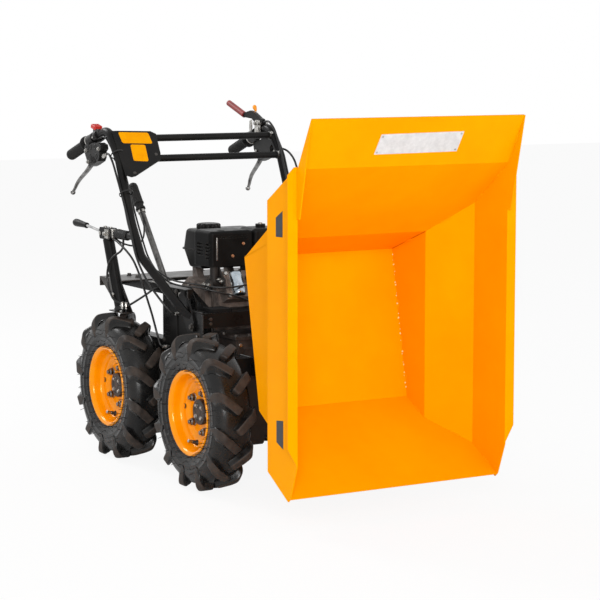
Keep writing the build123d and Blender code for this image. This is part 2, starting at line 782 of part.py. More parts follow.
nodes["engine_block"] = engine_block()
nodes["valve_cover"] = valve_cover()
nodes["muffler_guard"] = muffler_guard()
nodes["fuel_tank"] = fuel_tank()
nodes["fuel_cap"] = fuel_cap()
nodes["air_cleaner"] = air_cleaner()
nodes["recoil_starter"] = recoil_starter()
elbow_y = muffler_right + 20
elbow_flange = prism_xz([(elbow_x - 22, elbow_z - 9), (elbow_x - 8, elbow_z - 20),
                         (elbow_x + 10, elbow_z - 20), (elbow_x + 22, elbow_z - 6),
                         (elbow_x + 12, elbow_z + 10), (elbow_x - 12, elbow_z + 10)],
                        elbow_y - 20, elbow_y - 14)
port_y = cylinder_y - cylinder_width / 2 - seat_gap
nodes["exhaust_elbow"] = (across(elbow_x, elbow_z, elbow_y - 20, port_y, elbow_radius)
                          + elbow_flange
                          + rod((elbow_x, elbow_y, elbow_z), (elbow_x, elbow_y, muffler_bottom),
                                elbow_radius - 1))

# ------------------------------------------------------------------ handlebar

foot_half = beam_half + seat_gap + bar_radius
grip_tip = Vector(grip_end[0], grip_half, grip_end[1])
bar_rise = (Vector(bar_top[0], bar_half, bar_top[1]) - grip_tip).normalized()
bar_corners = [grip_end, bar_top, bar_mid, bar_low, bar_knee, bar_foot]
foot_run = Vector(bar_foot[0] - bar_knee[0], 0, bar_foot[1] - bar_knee[1]).normalized()
panel_run = Vector(bar_mid[0] - bar_top[0], 0, bar_mid[1] - bar_top[1]).normalized()
upper_cross = Vector(bar_top[0], 0, bar_top[1]) + panel_run * upper_cross_drop
lower_cross = Vector(bar_mid[0], 0, bar_mid[1])


def along_bar(distance):
    """A point on the left bar's straight end, measured from the grip's end."""
    return grip_tip + bar_rise * distance


def bar_ring(distance, length, radius):
    """A round collar on the left bar's straight end."""
    return rod(tuple(along_bar(distance)), tuple(along_bar(distance + length)), radius)


def pressed_end(tube):
    """The tube's lower end, pressed flat against the side plate."""
    stand = Plane(origin=(bar_foot[0], 0, bar_foot[1]), x_dir=tuple(foot_run),
                  z_dir=(-foot_run.Z, 0, foot_run.X))
    flat = beam_half + seat_gap + palm_sheet
    high = flat + 2 * bar_radius + 20
    outline = [(-palm_slope, high), (-8, flat), (60, flat), (60, high + 30), (-palm_slope, high + 30)]
    return tube - stand * extrude(make_face(Polyline(*outline, close=True)), 60, both=True)


def bar_palm():
    """The flattened foot below the tube, bolted to the side plate."""
    x, z = bar_foot
    outline = [(x - 78, z + 58), (x - 56, z + 72), (x - 14, z + 36), (x + 12, z - 6), (x + 8, z - 34),
               (x - 26, z - 36), (x - 46, z - 8)]
    low = beam_half + seat_gap
    return prism_xz(outline, low, low + palm_sheet)


def handlebar():
    """Two bent side tubes joined by two cross bars."""
    halves = [bar_half] * 4 + [foot_half]
    points = [tuple(along_bar(grip_wall + seat_gap))]
    points += [(x, half, z) for (x, z), half in zip(bar_corners[1:], halves)]
    tube = bent_tube(points, bar_bends, bar_radius)
    tube = pressed_end(tube) + bar_palm()
    body = tube + mirrored(tube)
    for cross in (upper_cross, lower_cross):
        body += across(cross.X, cross.Z, -bar_half, bar_half, cross_bar_radius)
    return body


nodes["handlebar"] = handlebar()

# ------------------------------------------------------------------ hand controls

perch_middle = along_bar(perch_start + perch_length / 2)
switch_middle = along_bar(switch_start + switch_length / 2)
clutch_middle = along_bar(clutch_start + clutch_length / 2)
collar_radius = bar_radius + collar_wall
collar_bore = bar_radius + collar_gap

# The perch's body, as distances ahead of and above the middle of its collar
perch_outline = [(-8, -22), (0, -12), (16, -12), (24, -14), (44, -7), (78, -5), (101, -10),
                 (104, -22), (93, -30), (92, -46), (83, -57), (45, -70), (24.5, -75), (9.5, -59),
                 (-5.5, -38)]
perch_inner, perch_outer, cable_out = 1.0, 25.0, 13.8
perch_barrel_end = (99.6, -41.7)
perch_barrel_start = (84.0, -47.2)
# The brake lever's bends, from its root on the perch to its tip
lever_bends = [(16.5, -67.5), (-4.4, -86.7), (-47.4, -116.7), (-76.4, -150.7),
               (-86.4, -161.7)]
# The clutch lever's flat body
clutch_outline = [(-90.2, 48.9), (-49, 57), (-21, 51), (10, 37), (26, 33), (22, 17), (-13, 17),
                  (-41, 33), (-94.4, 36.5)]
clutch_inner, clutch_outer = -14.0, -5.0
sleeve_start, sleeve_end = (-92.6, 42.8), (-190.3, 75.7)
# The thumb throttle: its pivot, the top of its wire and the tip of its knob, each with how
# far it stands off the clutch lever
throttle_bends = [((-22.0, 33.0), 1.8), ((-42.0, 54.0), 6.5), ((-55.0, 70.0), 8.0)]


def beside(middle, offset, outward):
    """A point off a collar's middle: ahead and above by an offset, and outward."""
    return (middle.X + offset[0], middle.Y + outward, middle.Z + offset[1])


def arc_radii(points):
    """For each corner of a route, the largest arc that its two runs leave room for."""
    corners = [Vector(*point) for point in points]
    radii = []
    for before, here, after in zip(corners, corners[1:], corners[2:]):
        turn = math.radians((here - before).get_angle(after - here))
        shorter = min((here - before).length, (after - here).length)
        radii.append(0.45 * shorter / math.tan(turn / 2))
    return radii


def grip():
    """A rubber grip with a flange, closed at its end and bored for the bar."""
    body = bar_ring(0, grip_length, grip_radius)
    body += bar_ring(grip_length - grip_flange, grip_flange, grip_radius + 7)
    return body - bar_ring(grip_wall, grip_length, bar_radius)


def perch():
    """The clamp and body that carry the brake lever, with the barrel its cable leaves by."""
    outline = [(perch_middle.X + ahead, perch_middle.Z + above) for ahead, above in perch_outline]
    body = prism_xz(outline, perch_middle.Y + perch_inner, perch_middle.Y + perch_outer)
    body += bar_ring(perch_start, perch_length, collar_radius)
    body += rod(beside(perch_middle, perch_barrel_start, cable_out),
                beside(perch_middle, perch_barrel_end, cable_out), 5.0)
    return body - bar_ring(perch_start - 1, perch_length + 80, collar_bore)


def brake_lever():
    """The bent blade that runs down below the grip, with a ball at its tip."""
    points = [beside(perch_middle, bend, cable_out) for bend in lever_bends]
    path = FilletPolyline(*points, radius=arc_radii(points))
    blade = Plane(origin=path @ 0, x_dir=(0, 1, 0), z_dir=path % 0) * Ellipse(
        lever_blade_thickness, lever_blade)
    return sweep(blade, path=path) + Pos(*points[-1]) * Sphere(lever_ball_radius)


def clutch_lever():
    """The long flat lever above the left grip, on its own clamp."""
    outline = [(clutch_middle.X + ahead, clutch_middle.Z + above) for ahead, above in clutch_outline]
    body = prism_xz(outline, clutch_middle.Y + clutch_inner, clutch_middle.Y + clutch_outer)
    body += bar_ring(clutch_start, clutch_length, collar_radius)
    body += block(clutch_middle.X - 15, clutch_middle.X + 13, clutch_middle.Y + clutch_inner,
                  clutch_middle.Y + 2, clutch_middle.Z - 5, clutch_middle.Z + 27)
    return body - bar_ring(clutch_start - 30, clutch_length + 60, collar_bore)


def throttle_lever():
    """A small thumb lever pivoted on the side of the clutch lever, with a teardrop knob."""
    pivot, top, tip = [beside(clutch_middle, bend, clutch_outer + off)
                       for bend, off in throttle_bends]
    body = across(pivot[0], pivot[2], pivot[1] - 1.5, pivot[1] + 1.5, 7.0)
    body += rod(pivot, top, 1.5)
    knob = Cone(3.0, 6.0, (Vector(*tip) - Vector(*top)).length - 6, align=from_low)
    body += Plane(origin=top, z_dir=Vector(*tip) - Vector(*top)) * knob
    return body + Pos(*tuple(Vector(*tip) * 0.7 + Vector(*top) * 0.3)) * Sphere(6.2)


def stop_switch():
    """The switch on the right bar: its collar, its body and the rocker on top."""
    body = bar_ring(switch_start, switch_length, collar_radius)
    x, y, z = switch_middle.X, switch_middle.Y, switch_middle.Z
    body += block(x - 16, x + 26, y - 6, y + 12, z + 6, z + 20)
    cap = Rot(0, 12, 0) * fillet(Box(32, 24, 12).edges().filter_by(Axis.Y), 4)
    body += Pos(x - 10, y + 2, z + 26) * cap
    return body - bar_ring(switch_start - 30, switch_length + 60, collar_bore)


def control_panel():
    """The plate that is clipped on the front of the right bar and the cross bars."""
    out = Vector(-panel_run.Z, 0, panel_run.X)
    face = Plane(origin=upper_cross + out * (bar_radius + seat_gap), x_dir=(0, -1, 0),
                 z_dir=out)
    # towards the right, down the slope from the upper cross bar
    outline = [(262, -17), (245, -17), (142, -13), (127, -3), (135, 66), (143, 89), (235, 141),
               (249, 144), (265, 137)]
    sign = 1 if face.y_dir.Z < 0 else -1
    points = [(right, sign * down) for right, down in outline]
    return face * extrude(make_face(Polyline(*points, close=True)), panel_sheet)


pieces = {"grip": grip(), "perch": perch(), "brake_lever": brake_lever()}
for piece, solid in pieces.items():
    nodes[f"{piece}_left"] = solid
    nodes[f"{piece}_right"] = mirrored(solid)
nodes["clutch_lever"] = clutch_lever()
sleeve_middle = (clutch_inner + clutch_outer) / 2
nodes["clutch_sleeve"] = rod(beside(clutch_middle, sleeve_start, sleeve_middle),
                             beside(clutch_middle, sleeve_end, sleeve_middle), 9.0)
nodes["throttle_lever"] = throttle_lever()
nodes["stop_switch"] = mirrored(stop_switch())
nodes["control_panel"] = control_panel()

# ------------------------------------------------------------------ deck levers

head_rear, head_front = post_head_x - 35, post_head_x + 35
head_outer, head_inner = -deck_half - shelf_width, -deck_half - 6
head_top = post_head_z + 33
strut_z = post_head_z + 18
strut_y = -deck_half - 12
shelf_top = gusset_bottom + sheet


def lever_post():
    """The post on the deck's shelf, the head that holds the gear lever, and its strut."""
    body = rod((post_foot_x, post_y, shelf_top), (post_head_x, post_y, post_head_z), post_radius)
    body -= block(post_foot_x - 40, post_foot_x + 60, post_y - 32, post_y + 28,
                  gusset_bottom - 20, shelf_top)
    head = block(head_rear, head_front, head_outer, head_inner, post_head_z, head_top)
    head = fillet(head.edges().filter_by(Axis.Y), 8)
    strut = rod((head_front, strut_y, strut_z), (bar_knee[0] - 35, -bar_half, strut_z), 10.0)
    strut -= rod((bar_low[0], -bar_half, bar_low[1]), (bar_knee[0], -bar_half, bar_knee[1]),
                 bar_radius + seat_gap)
    return body + head + strut


def gear_lever():
    """The thin bent rod behind the post's head, with a tapered knob."""
    knob_y = head_outer - 18
    first_bend = (head_rear - 14, head_outer + 10, post_head_z + 20)
    second_bend = (head_rear - 32, knob_y + 6, post_head_z + 32)
    knob_start = (head_rear - 43, knob_y, post_head_z + 34)
    knob_end = (head_rear - 131, knob_y, post_head_z + 38)
    start = (head_rear - seat_gap, head_outer + 10, post_head_z + 20)
    shaft = bent_tube([start, first_bend, second_bend, knob_start], [8, 14], gear_rod_radius)
    run = Vector(*knob_end) - Vector(*knob_start)
    knob = Plane(origin=knob_start, z_dir=run) * Cone(
        gear_knob_radius - 3, gear_knob_radius, run.length - 8, align=from_low)
    return shaft + knob


nodes["lever_post"] = lever_post()
nodes["gear_lever"] = gear_lever()
tip_run = Vector(tip_rod_end[0] - tip_pivot[0], 0, tip_rod_end[1] - tip_pivot[1]).normalized()
tip_end = Vector(tip_rod_end[0], tip_y, tip_rod_end[1])
nodes["tip_lever"] = (across(tip_pivot[0], tip_pivot[1], -deck_rail_inner, tip_y + 8, 15.0)
                      + rod((tip_pivot[0], tip_y, tip_pivot[1]), tuple(tip_end), tip_rod_radius))
tip_grip_start = tip_end + tip_run * seat_gap
tip_grip = rod(tuple(tip_grip_start), tuple(tip_grip_start + tip_run * tip_grip_length), tip_grip_radius)
nodes["tip_lever_grip"] = fillet(tip_grip.edges().sort_by(Axis.Z)[-1], 6)

# ------------------------------------------------------------------ cables


def bar_side(corner, rearward, outward):
    """A point beside one of the right bar's corners: behind or under it, and outward of it."""
    (x_a, z_a), (x_b, z_b), (x_c, z_c) = bar_corners[corner - 1:corner + 2]
    first = Vector(z_b - z_a, 0, x_a - x_b).normalized()
    second = Vector(z_c - z_b, 0, x_b - x_c).normalized()
    half = (first + second).normalized()
    point = Vector(x_b, 0, z_b) + half * (rearward / half.dot(first))
    return (point.X, -bar_half - outward, point.Z)


def to_right(point):
    """The same point on the machine's right."""
    return (point[0], -point[1], point[2])


def cable(points, radius):
    """A cable as straight runs joined by arcs as large as the runs allow."""
    return bent_tube(points, arc_radii(points), radius)


wire_leave = along_bar(switch_start + switch_length)
wire_under = Vector(bar_rise.Z, 0, -bar_rise.X).normalized()
tip_out = Vector(-tip_run.Z, 0, tip_run.X) * -1
lock_end = tip_grip_start + tip_out * 9.6 + Vector(0, -7.2, 0)
lock_start = (head_front, strut_y, post_head_z + 4)

# Each cable's points, from where it leaves its control to where it enters the machine
brake_start = beside(perch_middle, (perch_barrel_end[0] + seat_gap, perch_barrel_end[1]), cable_out)
brake_right = [to_right(brake_start), (-514, -277, 868), (-484, -278, 843), (-428, -277, 752),
               (-391, -277, 687), (-341.8, -277, 585), (-302, -262, 520), (-262, -234, 464),
               (-250, -plate_outer - 28, 437), (-250, -plate_outer, 437)]
brake_left = [brake_start, (-514, 277, 868), (-476, 281, 862), (-437, 281, 840), (-408, 279, 798),
              (-388, 278, 742), (-376, 278, 680), (-341.8, 277, 585), (-302, 262, 520),
              (-262, 234, 464), (-250, plate_outer + 28, 437), (-250, plate_outer, 437)]
clutch_route = [beside(clutch_middle, (25.6, 25.3), -9.5), (-536, 252, 947), (-507, 254, 926),
                (-484, 252, 896), (-460, 251, 854), (-424, 252, 770), (-390, 252, 688),
                (-335, 243, 600), (-287, 217, 549), (-272, plate_outer + 24, 496),
                (-272, plate_outer, 496)]
gear_end_x = gear_cable_ahead - wheelbase
gear_route = [(head_front, strut_y - 10, 627), (-474, strut_y - 10, 621),
              (-424, strut_y - 8, 602), (-384, -266, 578), (-350, -262, 536), (-346, -246, 481), (-350, -226, 426), (gear_end_x - 21, -214, 380),
              (gear_end_x, -plate_outer - 28, 336), (gear_end_x, -plate_outer, 336)]
lock_route = [lock_start, (-482, -254, 614), (-490, -216, 603), (-508, -184, 606),
              (-532, -160, 626), (-533, -158, 652), tuple(lock_end - tip_run * 28), tuple(lock_end)]
loop_route = [(-462, strut_y + 4, strut_z - 10 - seat_gap), (-462, strut_y + 3, 598),
              (-488, strut_y - 28, 570), (-502, strut_y - 30, 524), (-492, strut_y - 29, 486),
              (-460, strut_y - 30, 458), (-440, strut_y - 12, 448),
              (-440, strut_y - 12, shelf_top + seat_gap)]
post_route = [(-441, strut_y, shelf_top + seat_gap), (-441, strut_y, 438), (-418, -244, 455), (-402, -216, 476),
              (-398, -196, 490), (-398, -rail_outer, 490)]
stop_route = [to_right(tuple(wire_leave + bar_rise + wire_under * 12 + Vector(0, 9, 0))),
              bar_side(1, 15, 9), bar_side(2, 16, -5), bar_side(3, 8, -14), bar_side(4, 9, -14),
              (-326, -234, 558), (-298, -220, 542), (-272, -196, 524), (-258, -150, 516),
              (-214, -100, 507), (-196, -60, 506), (-197, 10, 512), (-212, 52, 515),
              (-236, 66, 516), (air_front - 22, 66, 516)]
throttle_route = [to_right(tuple(wire_leave + bar_rise + wire_under * 15 + Vector(0, -2, 0))),
                  bar_side(1, 18, -3), bar_side(2, 12, -15), bar_side(3, 1, -19),
                  bar_side(4, 1, -20), (-322, -224, 546), (-286, -204, 518), (-252, -172, 509),
                  (-234, -140, 508), (-206, -106, 497), (-193, -52, 484), (-196, -4, 468),
                  (-207, 20, 440), (-207, 20, gearbox_top + gearbox_lid + seat_gap)]

# name: route and radius
cable_table = {
    "cable_brake_right": (brake_right, cable_radius),
    "cable_brake_left": (brake_left, cable_radius),
    "cable_clutch": (clutch_route, cable_radius),
    "cable_gear": (gear_route, cable_radius),
    "cable_lock": (lock_route, wire_radius),
    "cable_loop": (loop_route, cable_radius),
    "cable_post": (post_route, cable_radius),
    "cable_stop": (stop_route, wire_radius),
    "cable_throttle": (throttle_route, wire_radius),
}
for name, (route, radius) in cable_table.items():
    nodes[name] = cable(route, radius)

# ------------------------------------------------------------------ writing

os.makedirs("parts", exist_ok=True)
x_low = min(solid.bounding_box().min.X for solid in nodes.values())
x_high = max(solid.bounding_box().max.X for solid in nodes.values())
origin_x = (x_low + x_high) / 2
for name, solid in nodes.items():
    export_step(Pos(-origin_x, 0, 0) * solid, f"parts/{name}.step")
print("origin lies at x", origin_x, "from the front axle")
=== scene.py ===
import math
import bmesh
import bpy
from mathutils import Matrix, Vector


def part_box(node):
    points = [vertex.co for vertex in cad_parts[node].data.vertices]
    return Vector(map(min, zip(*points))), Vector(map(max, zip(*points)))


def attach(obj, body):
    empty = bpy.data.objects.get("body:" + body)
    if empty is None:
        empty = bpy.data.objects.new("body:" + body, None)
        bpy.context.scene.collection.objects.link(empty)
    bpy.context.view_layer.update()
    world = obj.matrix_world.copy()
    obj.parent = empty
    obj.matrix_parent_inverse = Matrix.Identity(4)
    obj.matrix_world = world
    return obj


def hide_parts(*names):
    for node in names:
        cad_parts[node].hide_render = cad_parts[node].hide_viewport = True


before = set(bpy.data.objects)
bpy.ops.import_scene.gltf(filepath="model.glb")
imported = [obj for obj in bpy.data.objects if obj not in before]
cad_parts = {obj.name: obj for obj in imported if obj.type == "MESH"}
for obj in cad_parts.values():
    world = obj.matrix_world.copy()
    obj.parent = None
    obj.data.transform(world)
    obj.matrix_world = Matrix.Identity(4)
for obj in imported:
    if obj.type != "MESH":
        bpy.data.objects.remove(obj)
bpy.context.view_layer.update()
scene = bpy.context.scene
scene.view_settings.view_transform = "Standard"

# ---- Studio ----
# A pale seamless floor under a white surround, lit by one large soft lamp high on the
# camera's side, a lower one on the skip's side and a weak one behind.
# The camera stands 5.6 m off on the machine's right front quarter, a little above the skip.

# Where the camera stands in metres, and how far it looks down and turns in degrees
eye_place = (4.84086, -2.73886, 1.16582)
eye_dip, eye_turn = 7.02, 59.72
eye = bpy.data.cameras.new("camera")
eye.lens = 123.92
eye.sensor_width = 36
eye.clip_end = 100
viewpoint = bpy.data.objects.new("camera", eye)
viewpoint.location = eye_place
viewpoint.rotation_euler = (math.radians(90 - eye_dip), 0, math.radians(eye_turn))
scene.collection.objects.link(viewpoint)
scene.camera = viewpoint


def wire(net, source, target):
    net.links.new(source, target)


def node(net, kind, **settings):
    """A new shader node, with its properties or else its inputs set by name."""
    made = net.nodes.new("ShaderNode" + kind)
    for key, value in settings.items():
        if hasattr(made, key):
            setattr(made, key, value)
        else:
            made.inputs[key.replace("_", " ")].default_value = value
    return made


def rays_that_see_white(net, kinds):
    """An output that is one for rays of the given kinds and nought for the others."""
    path = node(net, "LightPath")
    seen = path.outputs[kinds[0]]
    for kind in kinds[1:]:
        either = node(net, "Math", operation="MAXIMUM")
        wire(net, seen, either.inputs[0])
        wire(net, path.outputs[kind], either.inputs[1])
        seen = either.outputs[0]
    return seen


surround = bpy.data.worlds.new("white_surround")
surround.use_nodes = True
net = surround.node_tree
net.nodes.clear()
soft_light = node(net, "Background", Color=(1, 1, 1, 1), Strength=0.55)
white = node(net, "Background", Color=(1, 1, 1, 1), Strength=1.0)
choose = node(net, "MixShader")
out = node(net, "OutputWorld")
wire(net, rays_that_see_white(net, ["Is Camera Ray", "Is Glossy Ray", "Is Transmission Ray"]),
     choose.inputs[0])
wire(net, soft_light.outputs[0], choose.inputs[1])
wire(net, white.outputs[0], choose.inputs[2])
wire(net, choose.outputs[0], out.inputs[0])
scene.world = surround

floor_mesh = bpy.data.meshes.new("studio_floor")
floor_mesh.from_pydata([(-15, -15, 0), (15, -15, 0), (15, 15, 0), (-15, 15, 0)], [], [(0, 1, 2, 3)])
floor = bpy.data.objects.new("studio_floor", floor_mesh)
scene.collection.objects.link(floor)
paper = bpy.data.materials.new("floor_paper")
paper.use_nodes = True
net = paper.node_tree
matt = net.nodes["Principled BSDF"]
matt.inputs["Base Color"].default_value = (0.94, 0.94, 0.94, 1)
matt.inputs["Roughness"].default_value = 0.9
matt.inputs["Specular IOR Level"].default_value = 0.1
glow = node(net, "Emission", Strength=1.0)
only_camera = node(net, "MixShader")
# A tenth of the paper's own shading is kept, for a faint shadow under the machine
whitened = node(net, "Math", operation="MULTIPLY")
whitened.inputs[1].default_value = 0.9
wire(net, rays_that_see_white(net, ["Is Camera Ray"]), whitened.inputs[0])
wire(net, whitened.outputs[0], only_camera.inputs[0])
wire(net, matt.outputs[0], only_camera.inputs[1])
wire(net, glow.outputs[0], only_camera.inputs[2])
wire(net, only_camera.outputs[0], net.nodes["Material Output"].inputs["Surface"])
floor_mesh.materials.append(paper)

for name, place, aim, size, watts in (
        ("lamp_front", (5.4, -2.7, 2.1), (0, 0, 0.5), 2.4, 200),
        ("lamp_skip_side", (3.8, 1.6, 1.6), (0.2, 0, 0.5), 2.0, 10),
        ("lamp_behind", (-3.0, -1.4, 3.0), (-0.2, 0, 0.6), 1.6, 55)):
    lamp = bpy.data.lights.new(name, "AREA")
    lamp.shape = "DISK"
    lamp.size = size
    lamp.energy = watts
    stand = bpy.data.objects.new(name, lamp)
    stand.location = place
    stand.rotation_euler = (Vector(aim) - Vector(place)).to_track_quat("-Z", "Y").to_euler()
    scene.collection.objects.link(stand)

# ---- Main frame ----
# Two folded rails with the engine tray, side plates and cross beam, in 3 mm sheet steel.
# It is welded up and powder coated black, and everything else is bolted to it.

# The front axle's place, from which the works drawing is measured in millimetres.
hub_low, hub_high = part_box("hub_front_left")
axle_x = (hub_low.x + hub_high.x) / 2
# The drawing's main measures: the axles' height, the wheelbase, and the crankshaft's place
axle_z, wheelbase = 207.5, 506
crank_x, crank_z = -400, 431


def at(x, y, z):
    """A point of the drawing: x ahead of the front axle, y to the machine's left, z up."""
    return Vector((axle_x + x / 1000, y / 1000, z / 1000))


def surface(name, dark, light, rough=(0.4, 0.55), metal=0.0, spec=0.5, patch=14.0, grain=900.0,
            relief=0.05, relief_depth=0.0004, edge=0.0008, painted_edge_shading=None, coat=0.0, contrast=(0.35, 0.65),
            sheen_colour=None):
    """A finish that varies softly between two colours, with a fine grain, rounded edges and,
    where an edge colour is given, painted light along the edges: edges blended to that colour in patches,
    lighter for highlights, darker for shade."""
    made = bpy.data.materials.new(name)
    made.use_nodes = True
    net = made.node_tree
    shader = net.nodes["Principled BSDF"]
    shader.inputs["Metallic"].default_value = metal
    shader.inputs["Specular IOR Level"].default_value = spec
    shader.inputs["Coat Weight"].default_value = coat
    if sheen_colour:
        shader.inputs["Specular Tint"].default_value = (*sheen_colour, 1)
        shader.inputs["Coat Tint"].default_value = (*sheen_colour, 1)
    if coat:
        shader.inputs["Coat Roughness"].default_value = 0.06
    where = node(net, "TexCoord").outputs["Object"]
    clouds = node(net, "TexNoise", Scale=patch, Detail=5.0, Roughness=0.6)
    ramp = node(net, "ValToRGB")
    ramp.color_ramp.elements[0].position, ramp.color_ramp.elements[1].position = contrast
    ramp.color_ramp.elements[0].color = (*dark, 1)
    ramp.color_ramp.elements[1].color = (*light, 1)
    wire(net, where, clouds.inputs["Vector"])
    wire(net, clouds.outputs["Fac"], ramp.inputs["Fac"])
    colour = ramp.outputs["Color"]
    smooth = node(net, "MapRange", To_Min=rough[0], To_Max=rough[1], From_Min=0.3, From_Max=0.7)
    wire(net, clouds.outputs["Fac"], smooth.inputs["Value"])
    wire(net, smooth.outputs["Result"], shader.inputs["Roughness"])
    fine = node(net, "TexNoise", Scale=grain, Detail=3.0, Roughness=0.55)
    wire(net, where, fine.inputs["Vector"])
    bump = node(net, "Bump", Strength=relief, Distance=relief_depth)
    wire(net, fine.outputs["Fac"], bump.inputs["Height"])
    if edge:
        rounded = node(net, "Bevel", samples=4, Radius=edge)
        wire(net, rounded.outputs["Normal"], bump.inputs["Normal"])
        # painted highlights and shade along the edges: where the rounded normal turns from the flat one,
        # the colour blends in patches towards the edge colour
        if painted_edge_shading:
            flat = node(net, "NewGeometry")
            turn = node(net, "VectorMath", operation="DOT_PRODUCT")
            wire(net, rounded.outputs["Normal"], turn.inputs[0])
            wire(net, flat.outputs["Normal"], turn.inputs[1])
            edge_shading_mask = node(net, "MapRange", From_Min=0.995, From_Max=0.93, To_Min=0.0, To_Max=0.8)
            wire(net, turn.outputs["Value"], edge_shading_mask.inputs["Value"])
            patchy_edge_shading = node(net, "Math", operation="MULTIPLY")
            wire(net, edge_shading_mask.outputs["Result"], patchy_edge_shading.inputs[0])
            wire(net, clouds.outputs["Fac"], patchy_edge_shading.inputs[1])
            blend = node(net, "Mix", data_type="RGBA")
            wire(net, patchy_edge_shading.outputs[0], blend.inputs["Factor"])
            wire(net, colour, blend.inputs[6])
            blend.inputs[7].default_value = (*painted_edge_shading, 1)
            colour = blend.outputs[2]
    wire(net, colour, shader.inputs["Base Color"])
    wire(net, bump.outputs["Normal"], shader.inputs["Normal"])
    return made


def dress(finish, *names):
    """Gives the named parts a finish."""
    for name in names:
        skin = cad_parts[name].data.materials
        skin.clear()
        skin.append(finish)


# its edges lightened in patches: painted highlights along the edges
black_powder_coat = surface("black_powder_coat", (0.006, 0.006, 0.0062), (0.011, 0.0105, 0.010),
                            rough=(0.22, 0.38), spec=0.13, grain=1400, relief=0.12, relief_depth=0.0002,
                            painted_edge_shading=(0.06, 0.05, 0.045))
dress(black_powder_coat, "frame")


def bridge(build, rings, skin=0, capped=False):
    """Joins each ring of points to the next with faces. A ring may be a single point."""
    for a, b in zip(rings, rings[1:]):
        count = max(len(a), len(b))
        for i in range(count if count > 1 else 0):
            j = (i + 1) % count
            corners = (a[i % len(a)], a[j % len(a)], b[j % len(b)], b[i % len(b)])
            build.faces.new(list(dict.fromkeys(corners))).material_index = skin
    if capped:
        build.faces.new(rings[0][::-1]).material_index = skin
        build.faces.new(rings[-1]).material_index = skin


def turned(build, profile, steps=48, stand=Matrix.Identity(4), skin=0, closed=False):
    """Adds a surface turned about z from (radius, height) points to a mesh being built."""
    rings = []
    for radius, height in profile:
        turns = [2 * math.pi * i / steps for i in range(steps if radius > 1e-6 else 1)]
        rings.append([build.verts.new(stand @ Vector((radius * math.cos(turn), radius * math.sin(turn),
                                                      height))) for turn in turns])
    bridge(build, rings + (rings[:1] if closed else []), skin)


def prism(build, outline, low, high, stand=Matrix.Identity(4), skin=0, chamfer=0.0):
    """Adds a flat outline raised from low to high along z, its top edge chamfered."""
    levels = [(low, 0.0), (high - chamfer, 0.0), (high, chamfer)] if chamfer else [(low, 0.0), (high, 0.0)]
    middle = sum((Vector(point) for point in outline), Vector((0, 0))) / len(outline)
    rings = []
    for height, inset in levels:
        ring = []
        for point in outline:
            reach = Vector(point) - middle
            flat = middle + reach * (1 - inset / max(reach.length, 1e-6))
            ring.append(build.verts.new(stand @ Vector((flat.x, flat.y, height))))
        rings.append(ring)
    bridge(build, rings, skin, capped=True)


def facing(place, direction, roll=0.0):
    """A stand whose z points along a direction, at a place."""
    turn = Vector(direction).normalized().to_track_quat("Z", "Y").to_matrix().to_4x4()
    return Matrix.Translation(place) @ turn @ Matrix.Rotation(roll, 4, "Z")


def ring_of(count, radius, first=0.0):
    """Points spaced evenly round a circle, from a first angle in degrees."""
    turns = [math.radians(360 / count * i + first) for i in range(count)]
    return [(radius * math.cos(turn), radius * math.sin(turn)) for turn in turns]


def collar(build, bore, radius, length, chamfer, stand, steps=36, skin=0):
    """Adds a ring that closes round a bar or a pin, left open where it touches it."""
    turned(build, [(bore, 0.0), (radius, chamfer), (radius, length - chamfer), (bore, length)],
           steps, stand, skin)


def hexagon(across):
    """A hexagon by its width across the flats."""
    return ring_of(6, across / 2 / math.cos(math.pi / 6))


def bolt(build, place, direction, across=0.010, head=0.005, washer=0.0, skin=0, roll=0.0, stud=0.0):
    """Adds a hexagon bolt head, or a nut with its stud showing, on its washer."""
    stand = facing(place, direction, roll)
    rise = 0.0
    if washer:
        rise = 0.0014
        turned(build, [(0, 0), (washer, 0), (washer, rise), (0, rise)], 24, stand, skin)
    prism(build, hexagon(across), rise, rise + head, stand, skin, chamfer=across * 0.07)
    if stud:
        turned(build, [(across * 0.28, rise + head), (across * 0.28, rise + head + stud * 0.8),
                       (across * 0.2, rise + head + stud), (0, rise + head + stud)], 16, stand, skin)


def bolts(build, places, direction, **form):
    """Adds the same bolt at each of some points of the drawing."""
    for place in places:
        bolt(build, at(*place), direction, **form)


def piece(name, build, skins, body, sharp=35, bevel=0.0):
    """Turns what has been built into a piece that rides on a body."""
    bmesh.ops.recalc_face_normals(build, faces=build.faces)
    mesh = bpy.data.meshes.new(name)
    build.to_mesh(mesh)
    build.free()
    for skin in skins:
        mesh.materials.append(skin)
    mesh.polygons.foreach_set("use_smooth", [True] * len(mesh.polygons))
    mesh.set_sharp_from_angle(angle=math.radians(sharp))
    made = bpy.data.objects.new(name, mesh)
    scene.collection.objects.link(made)
    if bevel:
        round_off = made.modifiers.new("edges", "BEVEL")
        round_off.width = bevel
        round_off.segments = 2
        round_off.limit_method = "ANGLE"
        round_off.angle_limit = math.radians(35)
        round_off.harden_normals = True
    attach(made, body)
    return made

zinc_steel = surface("zinc_steel", (0.36, 0.35, 0.33), (0.56, 0.55, 0.52), rough=(0.24, 0.38), metal=1.0,
                     patch=160, relief=0.2, relief_depth=0.0003, edge=0.0005)
dark_fastener = surface("dark_fastener", (0.035, 0.032, 0.03), (0.09, 0.082, 0.075), rough=(0.3, 0.5),
                        metal=0.6, patch=160, relief=0.2, relief_depth=0.0003, edge=0.0005)
weld_metal = surface("weld_metal", (0.010, 0.010, 0.010), (0.020, 0.018, 0.017), rough=(0.3, 0.45),
                     patch=200, grain=300, relief=0.6, relief_depth=0.0012, edge=0.0)


